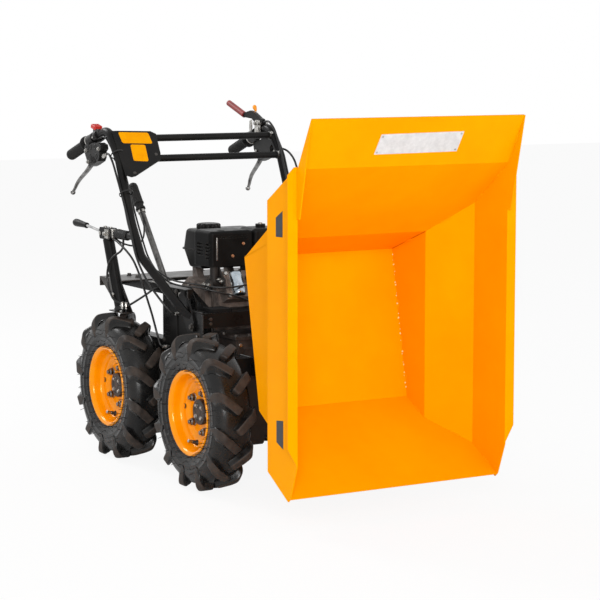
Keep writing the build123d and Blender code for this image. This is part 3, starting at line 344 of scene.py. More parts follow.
def weld_bead(build, start, end, size=0.0035, skin=0, step=0.004):
    """Adds a run of overlapping weld ripples between two points."""
    run = end - start
    count = max(2, int(run.length / step))
    rings = []
    stand = facing(start, run)
    for i in range(count * 2 + 1):
        swell = size * (1.0 if i % 2 else 0.78) * (0.35 if i in (0, count * 2) else 1.0)
        along = run.length * i / (count * 2)
        rings.append([build.verts.new(stand @ Vector((*point, along))) for point in ring_of(6, swell)])
    bridge(build, rings, skin, capped=True)


fasteners = bmesh.new()
for side in (1, -1):
    # through the bar's pressed foot into the side plate, the foot's two lower bolts painted over
    bolts(fasteners, [(-253, side * 183, 487)], (0, side, 0), across=0.013, head=0.006, washer=0.009)
    bolts(fasteners, [(-212, side * 191.3, 452), (-176, side * 191.3, 408)], (0, side, 0), across=0.013,
          head=0.006, washer=0.010, skin=1)
    # deck plate and engine tray to the rails
    for first, second, z_place, skin in ((-615, -560, 506, 1), (-449, -388, 503, 0)):
        bolts(fasteners, [(first, side * 168, z_place), (second, side * 168, z_place)], (0, 0, 1),
              across=0.010, head=0.005, washer=0.008, skin=skin)
    bolts(fasteners, [(x_place, side * 180, 325) for x_place in (-580, -430, -300, -20, 40)],
          (0, side, 0), across=0.013, head=0.006, washer=0.010, skin=1)
    bolts(fasteners, [(-128, side * 160, 432), (-128, side * 160, 420)], (1, 0, 0), across=0.009,
          head=0.004, skin=1)
piece("frame_fasteners", fasteners, [zinc_steel, dark_fastener], "chassis")

frame_welds = bmesh.new()
for side in (1, -1):
    # each bead's ends as x and z, how far out it runs, and its size
    for (x_a, z_a), (x_b, z_b), out, size in (((-128, 446), (-128, 394), 183.5, 0.0035),
                                              ((-198, 449.5), (-130, 449.5), 182.0, 0.0025),
                                              ((-217, 500), (-217, 452), 183.4, 0.0025),
                                              ((2, 351), (58, 351), 139.5, 0.003),
                                              ((-594, 301), (-520, 301), 180.4, 0.003)):
        weld_bead(frame_welds, at(x_a, side * out, z_a), at(x_b, side * out, z_b), size)
weld_bead(frame_welds, at(-205, -121, 449.5), at(-205, -60, 449.5), 0.0028)
piece("frame_welds", frame_welds, [weld_metal], "chassis", sharp=60)

# ---- Rear deck and belt guard ----
# Folded 3 mm plate behind the engine, with end gussets and the shelf for the lever post, and the
# vented plate that covers the belt.  Both are bolted on and coated like the frame.

# a lighter, browner black than the frame's for the deck: painted light standing for its lit top, with
# painted highlights along its edges
painted_lit_black = surface("painted_lit_black", (0.014, 0.012, 0.011), (0.060, 0.052, 0.047), rough=(0.28, 0.44),
                      spec=0.3, patch=18, grain=700, relief=0.3, painted_edge_shading=(0.14, 0.12, 0.11))
dress(painted_lit_black, "rear_deck")
dress(black_powder_coat, "belt_guard")
deck_fittings = bmesh.new()
bolts(deck_fittings, [(-628, y_place, 506) for y_place in (-225, -75, 75, 225)], (0, 0, 1),
      across=0.010, head=0.004, washer=0.009)
bolts(deck_fittings, [(-354, -186, 352), (-277, -186, 352), (-277, -186, 494)], (0, -1, 0),
      across=0.008, head=0.004, washer=0.007)
for y_place in (-243, 243):
    weld_bead(deck_fittings, at(-632, y_place, 501.5), at(-506, y_place, 501.5), 0.0024)
piece("deck_fittings", deck_fittings, [dark_fastener], "chassis")

# ---- Skip rest pads ----
# Two rubber blocks on the cross beam, for the lowered skip to land on, vulcanised to the beam.

pad_rubber = surface("pad_rubber", (0.006, 0.006, 0.006), (0.012, 0.011, 0.011), rough=(0.7, 0.85),
                     spec=0.1, patch=60, grain=500, relief=0.4, relief_depth=0.0006)
dress(pad_rubber, "skip_rest_pads")

# ---- Axle housings, gearbox and drive tunnels ----
# Sand-cast iron cases in thin dark primer with a brown cast to it, bolted under the rails.
# Joint faces, lid and drain plugs are held by plain hexagon bolts.

# both castings have their edges lightened in patches: painted highlights along the edges
primed_casting = surface("primed_casting", (0.020, 0.016, 0.014), (0.060, 0.046, 0.040),
                         rough=(0.5, 0.75), spec=0.35, patch=40, grain=420, relief=0.55,
                         relief_depth=0.0010, edge=0.0016, painted_edge_shading=(0.11, 0.09, 0.08))
dark_casting = surface("dark_casting", (0.010, 0.009, 0.009), (0.024, 0.020, 0.018), rough=(0.45, 0.65),
                       spec=0.3, patch=36, grain=420, relief=0.5, relief_depth=0.0009, edge=0.0016,
                       painted_edge_shading=(0.06, 0.05, 0.045))
dress(primed_casting, "gearbox")
dress(dark_casting, "front_axle_housing", "rear_axle_housing", "drive_tunnel_front", "drive_tunnel_rear")

case_bolts = bmesh.new()
for x_middle in (0, -wheelbase):
    for side in (1, -1):
        # the joint down the front and back of a drop case, and under its foot
        for face in (-1, 1):
            joint = [(x_middle + 50 * face, side * 160, z_place) for z_place in (290, 245, 190, 140)]
            bolts(case_bolts, joint, (face, 0, 0), across=0.008, head=0.004)
        bolts(case_bolts, [(x_middle + along, side * 160, 104.8) for along in (0, -26, 26)], (0, 0, -1),
              across=0.008, head=0.004)
        # the drain plug, and the bearing cap round the axle
        bolts(case_bolts, [(x_middle, side * 123, 104)], (0, 0, -1), across=0.014, head=0.005,
              washer=0.010, skin=1)
        bolts(case_bolts, [(x_middle + ahead, side * 180, axle_z + up) for ahead, up in ring_of(6, 34, 15)],
              (0, side, 0), across=0.010, head=0.005)
# the gearbox's lid, its front cover and the flanges of its two drive tunnels
bolts(case_bolts, [(-232, -100, 383), (-232, 62, 383), (-164, -100, 383), (-164, 62, 383), (-95, -100, 383),
                   (-95, 62, 383), (-95, -60, 383), (-95, -15, 383), (-95, 30, 383)], (0, 0, 1),
      across=0.010, head=0.006, washer=0.008)
bolts(case_bolts, [(-97, -86, 360), (-97, 49, 360), (-97, -86, 300), (-97, 49, 300), (-93, -66, 270),
                   (-93, 28, 270)], (1, 0, 0), across=0.010, head=0.005, skin=1)
for face_x, side in ((-89, 1), (-238, -1)):
    bolts(case_bolts, [(face_x, aside, axle_z + up) for aside, up in ring_of(6, 36)], (side, 0, 0),
          across=0.008, head=0.004)
piece("case_bolts", case_bolts, [dark_fastener, zinc_steel], "chassis")

# ---- Rims ----
# Pressed 8 inch wheels: a rolled flange, a deep barrel and a stepped dish in 4 mm steel.
# They are sprayed gloss yellow-orange and held to the hub by five nuts.

wheel_paint = surface("wheel_paint", (0.96, 0.335, 0.0), (1.0, 0.385, 0.0), rough=(0.14, 0.22), patch=18,
                      grain=320, relief=0.12, relief_depth=0.0003, coat=0.25,
                      sheen_colour=(1.0, 0.62, 0.16), edge=0.0012)
# The dish and barrel's outer skin in millimetres: radius, distance out
rim_skin = [(34.3, 3.0), (62, 3.0), (67, 3.4), (71, 5.0), (74.5, 7.6), (78.5, 9.8), (83.0, 10.9),
            (89.0, 11.4), (93.5, 13.0), (96.6, 16.6), (98.2, 22.0), (98.9, 30.0), (99.8, 37.0),
            (101.6, 42.0), (104.4, 45.5), (107.8, 47.4), (111.0, 47.9), (113.2, 46.8), (114.0, 44.8),
            (113.2, 42.8), (111.0, 43.2), (107.4, 43.0), (104.4, 40.6), (102.6, 35.0), (101.6, 26.0),
            (101.6, -36.0), (103.4, -42.0), (107.4, -44.4), (112.4, -44.4), (114.0, -46.2),
            (112.4, -47.9), (106.0, -47.9), (101.0, -45.0), (98.6, -38.0), (98.6, 8.0),
            (93.0, 7.4), (80.0, 6.8), (73.0, 3.0), (68.0, -0.6), (62.0, -1.0), (34.3, -1.0)]
# The drilled balance hole and the valve, each as radius and angle in degrees
rim_hole = (84.0, 177.5)
valve_place = (86.0, -100.0)
valve_rubber = surface("valve_rubber", (0.012, 0.012, 0.012), (0.02, 0.02, 0.02), rough=(0.5, 0.6))
plated_steel = surface("plated_steel", (0.30, 0.29, 0.27), (0.46, 0.45, 0.43), rough=(0.2, 0.34),
                       metal=1.0, patch=180, relief=0.2, relief_depth=0.0003, edge=0.0006)

wheel_centres = {"front": (0, axle_z), "rear": (-wheelbase, axle_z)}
# A stand at a wheel's middle, its z pointing out of the machine's right side
outward = Matrix.Rotation(math.radians(90), 4, "X")


def polar(radius, degrees, height=0.0):
    """A point on a wheel in metres: radius and height in millimetres, and an angle."""
    turn = math.radians(degrees)
    return Vector((radius * math.cos(turn), radius * math.sin(turn), height)) / 1000


def rim_mesh():
    build = bmesh.new()
    turned(build, [(radius / 1000, out / 1000) for radius, out in rim_skin], 96, closed=True)
    turned(build, [(0.0, 0.0), (0.0058, 0.0), (0.0066, 0.0005), (0.0072, 0.0004)], 20,
           Matrix.Translation(polar(*rim_hole, 11.1)), 1)
    stem = facing(polar(*valve_place, 10.0), (polar(1000, valve_place[1]) * -0.28 + Vector((0, 0, 1))))
    turned(build, [(0.0082, 0.0), (0.0075, 0.003), (0.0052, 0.006), (0.0046, 0.016), (0.0, 0.016)], 20,
           stem, 1)
    turned(build, [(0.0032, 0.015), (0.0032, 0.019), (0.0046, 0.0192), (0.0046, 0.029), (0.003, 0.0305),
                   (0.0, 0.0305)], 16, stem, 2)
    return build


# ---- Hubs ----
# Turned steel hubs, oiled black, with a plain nose through the dish.
# Five plated nuts and washers hold the wheel, and four small screws the nose cap.

hub_black = surface("hub_black", (0.012, 0.010, 0.009), (0.035, 0.028, 0.024), rough=(0.35, 0.6),
                    patch=90, grain=700, relief=0.3)
nut_steel = surface("nut_steel", (0.10, 0.095, 0.09), (0.24, 0.22, 0.20), rough=(0.18, 0.3), metal=1.0,
                    patch=220, relief=0.2, relief_depth=0.0003, edge=0.0009)
hub_profile = [(0.0, 14.2), (9.0, 14.2), (10.0, 13.2), (23.0, 13.2), (24.0, 15.0), (31.5, 15.0),
               (33.2, 14.2), (34.0, 12.6), (34.0, -1.0), (67.0, -1.0), (68.0, -2.0), (68.0, -8.2),
               (67.0, -9.0), (12.5, -9.0), (12.5, -79.0), (0.0, -79.0)]


def hub_mesh():
    build = bmesh.new()
    turned(build, [(radius / 1000, out / 1000) for radius, out in hub_profile], 64)
    for count in range(5):
        stand = Matrix.Translation(polar(55, 72 * count, 3.0))
        turned(build, [(0.0, 0.0), (0.0125, 0.0), (0.0125, 0.0016), (0.0118, 0.0022), (0, 0.0022)], 28,
               stand, 1)
        prism(build, hexagon(0.019), 0.002, 0.0105, stand @ Matrix.Rotation(0.4 + count, 4, "Z"), 2,
              chamfer=0.0012)
        turned(build, [(0.0088, 0.0100), (0.0082, 0.0118), (0.0062, 0.0128), (0.0060, 0.0172),
                       (0.0050, 0.0182), (0.0, 0.0182)], 20, stand, 2)
    for count in range(4):
        place = polar(21, 40 + 90 * count, 13.0)
        bolt(build, place, (0, 0, 1), across=0.008, head=0.0035, washer=0.0062, skin=1, roll=count)
    return build


# ---- Tyres ----
# Four 4.00-8 cross-ply tractor tyres in black rubber, mounted on the rims.
# Twelve pairs of slanting lugs stand on the crown and wrap over the shoulder, and
# moulding whiskers still stand on the tread and the side walls.

tyre_rubber = surface("tyre_rubber", (0.006, 0.006, 0.0062), (0.014, 0.013, 0.012), rough=(0.16, 0.34),
                      spec=0.3, patch=26, grain=700, relief=0.25, relief_depth=0.0005, edge=0.0)
lug_rubber = surface("lug_rubber", (0.022, 0.018, 0.016), (0.056, 0.042, 0.034), rough=(0.42, 0.66),
                     spec=0.2, patch=34, grain=420, relief=0.4, relief_depth=0.0006, edge=0.0)

# The lugs' spacing in degrees, and the tyre's largest radius and reach outwards
lug_pitch = 30.0
tread_radius, widest = 207.3, 54.8
# The carcass from its middle outwards in millimetres: distance out, radius
carcass = [(0.0, 191.4), (12.0, 191.0), (24.0, 189.4), (34.0, 186.4), (42.0, 181.6),
           (47.5, 175.6), (51.0, 168.4), (52.8, 161.4), (53.5, 156.0), (54.1, 155.2),
           (54.1, 153.6), (53.5, 152.8), (53.2, 147.0), (52.6, 140.6), (52.9, 139.4),
           (52.9, 137.8), (52.2, 136.6), (50.4, 130.0), (48.8, 125.2), (49.0, 124.0),
           (48.2, 122.8), (46.6, 119.4), (45.4, 116.4), (44.8, 112.0), (42.0, 108.0)]
# One lug from the middle of the tread over the shoulder:
# foot out, foot radius, top out, top radius, turn in degrees, half width, slant in degrees
lug_stations = [(-5.0, 190.0, -5.4, 194.0, 7.4, 6.2, 45), (-4.4, 190.0, -4.4, 201.5, 7.6, 9.4, 45),
                (-2.0, 189.5, -1.6, 206.6, 8.2, 11.3, 45), (4.0, 189.5, 4.4, 207.3, 9.6, 12.0, 45),
                (14.0, 189.0, 14.5, 207.3, 12.2, 12.3, 44),
                (24.0, 187.8, 25.0, 207.3, 14.9, 12.7, 42), (33.0, 185.0, 35.0, 206.8, 17.3, 13.2, 36),
                (40.0, 180.5, 43.0, 204.4, 19.2, 13.7, 26), (46.0, 174.5, 49.2, 198.8, 20.5, 14.0, 15),
                (50.0, 167.5, 52.8, 190.6, 21.2, 13.8, 5), (52.0, 160.5, 54.6, 181.0, 21.6, 12.8, -4),
                (52.8, 154.5, 54.8, 170.5, 21.7, 11.0, -10), (53.0, 149.0, 54.7, 160.0, 21.5, 8.6, -16),
                (52.9, 145.0, 54.2, 151.0, 21.2, 5.6, -20), (52.8, 143.0, 53.0, 145.0, 21.0, 3.2, -20)]
lug_section = [(-1.42, -0.04), (-1.2, 0.08), (-1.08, 0.3), (-1.0, 0.66), (-0.95, 0.88), (-0.83, 0.98),
               (-0.6, 1.0), (0.0, 1.0), (0.6, 1.0), (0.83, 0.98), (0.95, 0.88), (1.0, 0.66), (1.08, 0.3),
               (1.2, 0.08), (1.42, -0.04)]


def eased(stations, parts):
    """Smoothly spaced stations between the given ones."""
    made = []
    for i in range(len(stations) - 1):
        before, here = stations[max(i - 1, 0)], stations[i]
        after, beyond = stations[i + 1], stations[min(i + 2, len(stations) - 1)]
        for part in range(parts):
            t = part / parts
            made.append([0.5 * (2 * b + (c - a) * t + (2 * a - 5 * b + 4 * c - d) * t * t
                                + (3 * b - a - 3 * c + d) * t ** 3)
                         for a, b, c, d in zip(before, here, after, beyond)])
    return made + [list(stations[-1])]


def whisker(build, foot, reach, long):
    """One thread of rubber left by a vent of the mould."""
    stand = facing(foot, reach)
    turned(build, [(0.0012, -0.0008), (0.0008, 0.0012), (0.0007, long * 0.8), (0.0, long)], 5, stand, 0)


def tyre_mesh():
    """A tyre about z, its outer side towards z, in metres."""
    build = bmesh.new()
    profile = [(radius / 1000, out / 1000) for out, radius in carcass]
    profile = profile[::-1] + [(radius, -out) for radius, out in profile[1:]]
    turned(build, profile, 120)
    rings_of_one = eased(lug_stations, 2)
    for side in (1, -1):
        for pair in range(12):
            start = lug_pitch * pair + (0 if side > 0 else lug_pitch / 2)
            rings = []
            for foot_out, foot_r, top_out, top_r, turn, half, slant in rings_of_one:
                ring = []
                for u, v in lug_section:
                    out = foot_out + (top_out - foot_out) * v
                    radius = foot_r + (min(top_r, tread_radius) - foot_r) * v
                    aside = u * half
                    angle = start + turn + math.degrees(aside * math.cos(math.radians(slant)) / radius)
                    out = min(out - aside * math.sin(math.radians(slant)) * (0.75 if out > 30 else 1),
                              widest)
                    ring.append(build.verts.new(polar(radius, angle, out * side)))
                rings.append(ring)
            for a, b in zip(rings, rings[1:]):
                for i in range(len(lug_section) - 1):
                    face = build.faces.new([a[i], a[i + 1], b[i + 1], b[i]])
                    face.material_index = int(min(lug_section[i][1], lug_section[i + 1][1]) > 0.8)
            for ring in (rings[0], rings[-1]):
                build.faces.new(ring)
    # beside the bead, in threes and twos, then over the side wall and the tread
    for count in range(54):
        angle = count * 360 / 54 + 2.6 * math.sin(count * 2.3) + 1.6 * math.sin(count * 1.1)
        radius = 115.0 + 2.5 * math.sin(count * 1.9)
        lean = polar(160 * math.sin(count * 3.9), angle + 90) + polar(100, angle)
        whisker(build, polar(radius, angle, 45.4), Vector((0, 0, 1)) + lean,
                0.015 + 0.005 * math.sin(count * 1.7))
    for count in range(60):
        angle = count * 6 + 2.0 * math.sin(count * 2.9)
        radius, out = ((128.0, 49.6), (146.0, 53.0), (160.0, 52.8))[count % 3]
        lean = polar(300, angle) + polar(200 * math.sin(count * 3.1), angle + 90)
        whisker(build, polar(radius, angle, out), Vector((0, 0, 0.9)) + lean,
                0.011 + 0.004 * math.sin(count * 1.3))
    for count in range(36):
        angle = 10 * count + 3.0 * math.sin(count * 2.1)
        out = (-26.0, 27.0, 3.0)[count % 3]
        long = 0.011 + 0.004 * math.sin(count * 2.7)
        foot = polar(189.2, angle, out)
        whisker(build, foot, polar(1000, angle) + Vector((0, 0, 0.12 * math.sin(count))), long)
    return build


for axle, (x_place, z_place) in wheel_centres.items():
    for side, sign in (("left", 1), ("right", -1)):
        stand = Matrix.Translation(at(x_place, 250 * sign, z_place)) \
            @ Matrix.Scale(-sign, 4, (0, 1, 0)) @ outward
        for name, build, skins, sharp, stood_for in (
                ("wheel_rim", rim_mesh(), [wheel_paint, valve_rubber, plated_steel], 40, "rim"),
                ("wheel_hub", hub_mesh(), [hub_black, plated_steel, nut_steel], 35, "hub"),
                ("tyre_tread", tyre_mesh(), [tyre_rubber, lug_rubber], 50, "tyre")):
            build.transform(stand)
            made = piece(f"{name}_{axle}_{side}", build, skins, f"wheel_{axle}_{side}", sharp=sharp)
            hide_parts(f"{stood_for}_{axle}_{side}")

# ---- Engine block ----
# A die-cast air-cooled single, its finned cylinder leaning forward and the tank's legs cast on.
# It stands on the frame's tray on four bolts.

# its edges lightened in patches: painted highlights along the edges
engine_alloy = surface("engine_alloy", (0.070, 0.058, 0.051), (0.235, 0.190, 0.165), rough=(0.5, 0.7),
                       metal=0.15, spec=0.4, patch=34, grain=520, relief=0.6, relief_depth=0.0010,
                       edge=0.0014, painted_edge_shading=(0.20, 0.17, 0.15))
dress(engine_alloy, "engine_block")


def slab(build, low, high, skin=0):
    """Adds a block between two corners of the drawing."""
    outline = [(at(low[0], 0, 0).x, low[1] / 1000), (at(high[0], 0, 0).x, low[1] / 1000),
               (at(high[0], 0, 0).x, high[1] / 1000), (at(low[0], 0, 0).x, high[1] / 1000)]
    prism(build, outline, low[2] / 1000, high[2] / 1000, skin=skin)


# A stand across the cylinder at its head face: x to the machine's left, z up the cylinder
lean = Vector((math.cos(math.radians(25)), 0, math.sin(math.radians(25))))
side_way = Vector((0, 1, 0))
head_turn = Matrix((side_way, lean.cross(side_way), lean)).transposed().to_4x4()


def up_cylinder(distance, aside=0.0, up=0.0):
    """The stand at a distance in millimetres from the crank, moved across the cylinder."""
    return Matrix.Translation(at(crank_x, -18, crank_z) + lean * distance / 1000) @ head_turn \
        @ Matrix.Translation((aside / 1000, up / 1000, 0))


block_details = bmesh.new()
# cast ribs and bosses of the crankcase's right face, and the drive cover's bolts
for x_place, z_place in ((-452, 470), (-452, 372), (-345, 348), (-328, 420), (-400, 496)):
    turned(block_details, [(0.011, 0.0), (0.0095, 0.007), (0, 0.007)], 20,
           facing(at(x_place, -75, z_place), (0, -1, 0)), 0)
    bolt(block_details, at(x_place, -82, z_place), (0, -1, 0), across=0.010, head=0.006, skin=1)
bolts(block_details, [(crank_x + ahead, -100, crank_z + up) for ahead, up in ring_of(6, 50, 20)],
      (0, -1, 0), across=0.008, head=0.005, skin=1)
turned(block_details, [(0.012, 0), (0.012, 0.024), (0, 0.024)], 24,
       facing(at(crank_x, -100, crank_z), (0, -1, 0)), 1)
bolts(block_details, [(-455, 68, 327), (-455, -68, 327), (-325, 68, 327), (-325, -68, 327)], (0, 0, 1),
      across=0.013, head=0.007, washer=0.011, skin=1, stud=0.004)
# the mounting rail beside the crankcase, where the deck's front edge shows
for low, high in (((-452, -62, 486), (-368, -54, 500)), ((-440, -70, 440), (-430, -66, 486)),
                  ((-380, -70, 450), (-370, -66, 490))):
    slab(block_details, low, high, 0)
bolts(block_details, [(-425, -24, 540.5), (-425, 60, 540.5)], (0, 0, -1), across=0.010, head=0.005, skin=1)
piece("engine_castings", block_details, [engine_alloy, zinc_steel], "chassis", bevel=0.0008)

# ---- Engine shroud and cylinder head ----
# The head casting, the polished pressed cover over its valves, the plug with its cap and the
# thin steel shroud that leads the fan's air round the fins.

polished_steel = surface("polished_steel", (0.30, 0.345, 0.38), (0.56, 0.62, 0.67), rough=(0.12, 0.26),
                         metal=1.0, patch=45, grain=260, relief=0.5, relief_depth=0.0012, edge=0.0020)
shroud_black = surface("shroud_black", (0.008, 0.008, 0.008), (0.016, 0.015, 0.014), spec=0.3, patch=30)


def cushion_outline(width, length, corner, steps=6):
    """The outline of a plate with rounded corners."""
    points = []
    for side_x, side_y, first in ((1, 1, 0), (-1, 1, 90), (-1, -1, 180), (1, -1, 270)):
        for i in range(steps + 1):
            angle = math.radians(first + 90 * i / steps)
            points.append((side_x * (width / 2 - corner) + corner * math.cos(angle),
                           side_y * (length / 2 - corner) + corner * math.sin(angle)))
    return points


head = bmesh.new()
prism(head, cushion_outline(0.082, 0.078, 0.010), 0.0, 0.006, up_cylinder(182), 0, chamfer=0.001)
prism(head, cushion_outline(0.062, 0.076, 0.009), 0.006, 0.0085, up_cylinder(182, aside=-1), 0,
      chamfer=0.0008)
# the cover's drawn cap, narrowing and rounding off as it rises
rings = []
cap_stand = up_cylinder(182, aside=-6)
for height, width, length, corner in ((0.008, 0.037, 0.072, 0.005), (0.0155, 0.036, 0.071, 0.005),
                                      (0.0225, 0.027, 0.067, 0.005), (0.0268, 0.014, 0.060, 0.004),
                                      (0.0275, 0.009, 0.052, 0.003)):
    rings.append([head.verts.new(cap_stand @ Vector((x, y, height)))
                  for x, y in cushion_outline(width, length, corner)])
bridge(head, rings, 1)
head.faces.new(rings[-1]).material_index = 1
for aside, up in ((-35, -32), (35, -32), (-35, 32), (35, 32)):
    bolt(head, up_cylinder(188, aside, up).translation, lean, across=0.010, head=0.006, skin=2)
bolt(head, up_cylinder(190.5, -23, 0).translation, lean, across=0.008, head=0.004, skin=2)
# spark plug with its rubber cap
plug = up_cylinder(184, 30, 12)
turned(head, [(0.0075, 0.0), (0.0075, 0.008), (0.0055, 0.009), (0.0055, 0.016), (0, 0.016)], 16, plug, 2)
turned(head, [(0.0095, 0.010), (0.0105, 0.014), (0.0105, 0.026), (0.0085, 0.029), (0.0, 0.030)], 20,
       plug, 3)
head_cover = piece("head_and_cover", head, [engine_alloy, polished_steel, zinc_steel, shroud_black],
                   "chassis", sharp=40)
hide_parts("valve_cover")

# ---- Exhaust ----
# A black elbow pipe from the port up into the silencer, on a flange with nuts, and the pressed
# heat guard round the silencer, vented on its side and bolted on through its front.

# the pipe's and the guard's edges lightened in patches: painted highlights along the edges
exhaust_black = surface("exhaust_black", (0.010, 0.009, 0.009), (0.022, 0.019, 0.017),
                        rough=(0.45, 0.65), spec=0.3, patch=50, grain=600, relief=0.3,
                        painted_edge_shading=(0.08, 0.06, 0.05))
guard_black = surface("guard_black", (0.005, 0.005, 0.005), (0.009, 0.009, 0.009), rough=(0.30, 0.42),
                      spec=0.06, patch=26, relief=0.15, edge=0.0018, painted_edge_shading=(0.10, 0.09, 0.08))
copper_plate = surface("copper_plate", (0.36, 0.19, 0.11), (0.62, 0.36, 0.22), rough=(0.3, 0.4),
                       metal=1.0, patch=200, grain=700, relief=0.2)
# a paler black for the louvres' lips: painted highlight where the pressed lips catch the light
louvre_lip_highlight = surface("louvre_lip_highlight", (0.060, 0.052, 0.046), (0.110, 0.095, 0.085), rough=(0.35, 0.5),
                     spec=0.3, patch=80, grain=700, edge=0.0)
# a pale metal for the rod down the guard's front fold: painted highlight of that fold
fold_highlight = surface("fold_highlight", (0.10, 0.098, 0.095), (0.22, 0.21, 0.20), rough=(0.2, 0.35),
                      metal=0.8, patch=120, grain=700)
dress(exhaust_black, "exhaust_elbow")
dress(guard_black, "muffler_guard")

exhaust = bmesh.new()
for ahead, above in ((-14, -3), (13, -3), (0, -15)):
    bolt(exhaust, at(-256 + ahead, -100, 513 + above), (0, -1, 0), across=0.010, head=0.006,
         stud=0.005, roll=ahead)
# bracket from the guard's foot to the head, in black strip
bracket = [(-268, 561), (-250, 561), (-236, 540), (-214, 526), (-216, 510), (-240, 512), (-262, 536)]
stand = Matrix.Translation(at(0, -66, 0)) @ Matrix.Rotation(math.radians(90), 4, "X")
prism(exhaust, [(x / 1000, z / 1000) for x, z in bracket], 0.0, 0.004, stand, 1, chamfer=0.0006)
bolts(exhaust, [(-226, -70, 520), (-241, -70, 524)], (0, -1, 0), across=0.010, head=0.006, stud=0.004)
# the guard's front: two coppered bolts in shallow pressed rings, and a pale metal rod down its vertical
# fold, a painted highlight
bolts(exhaust, [(-238, 2.1, 621.3), (-238, -31.8, 588.2)], (1, 0, 0), across=0.006, head=0.004,
      washer=0.0044, skin=2)
turned(exhaust, [(0.0022, 0.0), (0.0030, 0.002), (0.0030, 0.062), (0.0022, 0.064), (0, 0.064)], 12,
       Matrix.Translation(at(-239.5, -80, 577)), 3)
turned(exhaust, [(0.009, 0.0), (0.011, 0.0005), (0.0105, 0.0012), (0.0, 0.0014)], 28,
       Matrix.Translation(at(-258, -58, 652.4)), 1)
# the louvres in the guard's side, in two columns: each a pale lip, a painted highlight of the pressed lip,
# with a dark slot on it, painted shade of the opening
louvre_pitch, louvre_thick = 9.6, 0.0006
louvre_turn = Matrix.Rotation(math.radians(90), 4, "X") @ Matrix.Rotation(-0.048, 4, "Z")
for column, count, first in ((-340, 4, 616), (-286, 5, 620)):
    for row in range(count):
        stand = Matrix.Translation(at(column, -80, first - row * louvre_pitch)) @ louvre_turn
        for rise, width, depth, skin in ((0.0, 0.040, 0.0056, 5), (louvre_thick, 0.037, 0.0038, 4)):
            prism(exhaust, cushion_outline(width, depth, 0.0018, 3), rise, rise + louvre_thick, stand, skin)
exhaust_skins = [zinc_steel, exhaust_black, copper_plate, fold_highlight, guard_black, louvre_lip_highlight]
piece("exhaust_fittings", exhaust, exhaust_skins, "chassis")

# ---- Fuel tank and cap ----
# Two pressed steel halves with a folded seam, sprayed satin black, on the crankcase's legs.
# The black moulded cap has finger lobes round its rim.

# its edges lightened in patches: painted highlights along the edges
tank_black = surface("tank_black", (0.006, 0.006, 0.0062), (0.011, 0.0105, 0.010), rough=(0.24, 0.38),
                     spec=0.09, patch=12, grain=1100, relief=0.1, edge=0.0018, painted_edge_shading=(0.07, 0.06, 0.055))
moulded_black = surface("moulded_black", (0.006, 0.006, 0.006), (0.011, 0.0105, 0.010),
                        rough=(0.30, 0.44), spec=0.11, patch=40, grain=1300, relief=0.35,
                        relief_depth=0.0002, edge=0.0010)
dress(tank_black, "fuel_tank")
cap = bmesh.new()
rings = []
# the cap's section, with how deep the grooves between its lobes are cut at each height
for height, radius, depth in ((0.0, 33.0, 1.2), (1.5, 34.5, 2.0), (11.5, 34.5, 2.0), (13.8, 33.0, 1.6),
                              (15.4, 29.5, 0.8), (16.0, 25.0, 0.0), (15.2, 20.0, 0.0), (15.2, 8.0, 0.0)):
    ring = []
    for degrees in range(0, 360, 3):
        groove = 2.4 * (1 - abs(math.cos(math.radians(6 * degrees))) ** 0.7)
        ring.append(cap.verts.new(at(-415, -13, 650 + height) + polar(radius - groove * depth, degrees)))
    rings.append(ring)
bridge(cap, rings, capped=True)
cap_piece = piece("tank_cap", cap, [moulded_black], "chassis", sharp=42)
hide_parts("fuel_cap")

# ---- Air cleaner and recoil starter ----
# Moulded black housings: the filter on the carburettor ahead of the tank, and the fan cover with
# its pull cord's handle on the machine's left.

dress(moulded_black, "air_cleaner", "recoil_starter")
starter = bmesh.new()
bolts(starter, [(crank_x + ahead, 117, crank_z + up) for ahead, up in ring_of(3, 88, 30)], (0, 1, 0),
      across=0.010, head=0.005, washer=0.008)
turned(starter, [(0.030, 0.0), (0.030, 0.002), (0.028, 0.003), (0.010, 0.003), (0.008, 0.0045),
                 (0, 0.0045)], 48, facing(at(crank_x, 135, crank_z), (0, 1, 0)), 1)
for y_place in (66, 84, 102):
    slab(starter, (-318, y_place - 4, 618), (-257, y_place + 4, 618.4), 1)
turned(starter, [(0.006, 0.0), (0.006, 0.003), (0.003, 0.004), (0, 0.004)], 20,
       Matrix.Translation(at(-287.5, 84, 669)), 0)
piece("starter_fittings", starter, [zinc_steel, moulded_black], "chassis")

# ---- Drive pulley ----
# A turned steel pulley with one groove, on the end of the crankshaft behind the belt guard.
# It drives the belt down to the gearbox.

pulley_steel = surface("pulley_steel", (0.55, 0.55, 0.55), (0.80, 0.80, 0.80), rough=(0.16, 0.28),
                       metal=1.0, patch=60, grain=500, edge=0.0004)
pulley = bmesh.new()
turned(pulley, [(0.012, 0.0), (0.040, 0.0), (0.046, 0.002), (0.046, 0.004), (0.036, 0.010), (0.046, 0.016),
                (0.046, 0.018), (0.040, 0.020), (0.026, 0.020), (0.026, 0.022), (0.0, 0.022)], 64,
       facing(at(crank_x, -124, crank_z), (0, -1, 0)))
piece("drive_pulley", pulley, [pulley_steel], "chassis")

# ---- Handlebar and grips ----
# Two bent 25 mm tubes, pressed flat where they bolt on, with two cross bars welded between them,
# all powder coated black.  Ribbed rubber grips are pushed over the ends.

dress(black_powder_coat, "handlebar")

# The straight end of the left bar: the middle of the grip's end, and the way along it
grip_tip = at(-792, 268, 848)
bar_way = (at(-548, 260, 932) - grip_tip).normalized()
grip_rubber = surface("grip_rubber", (0.008, 0.008, 0.008), (0.018, 0.0175, 0.017), rough=(0.5, 0.68),
                      spec=0.25, patch=60, grain=700, relief=0.4, edge=0.0)


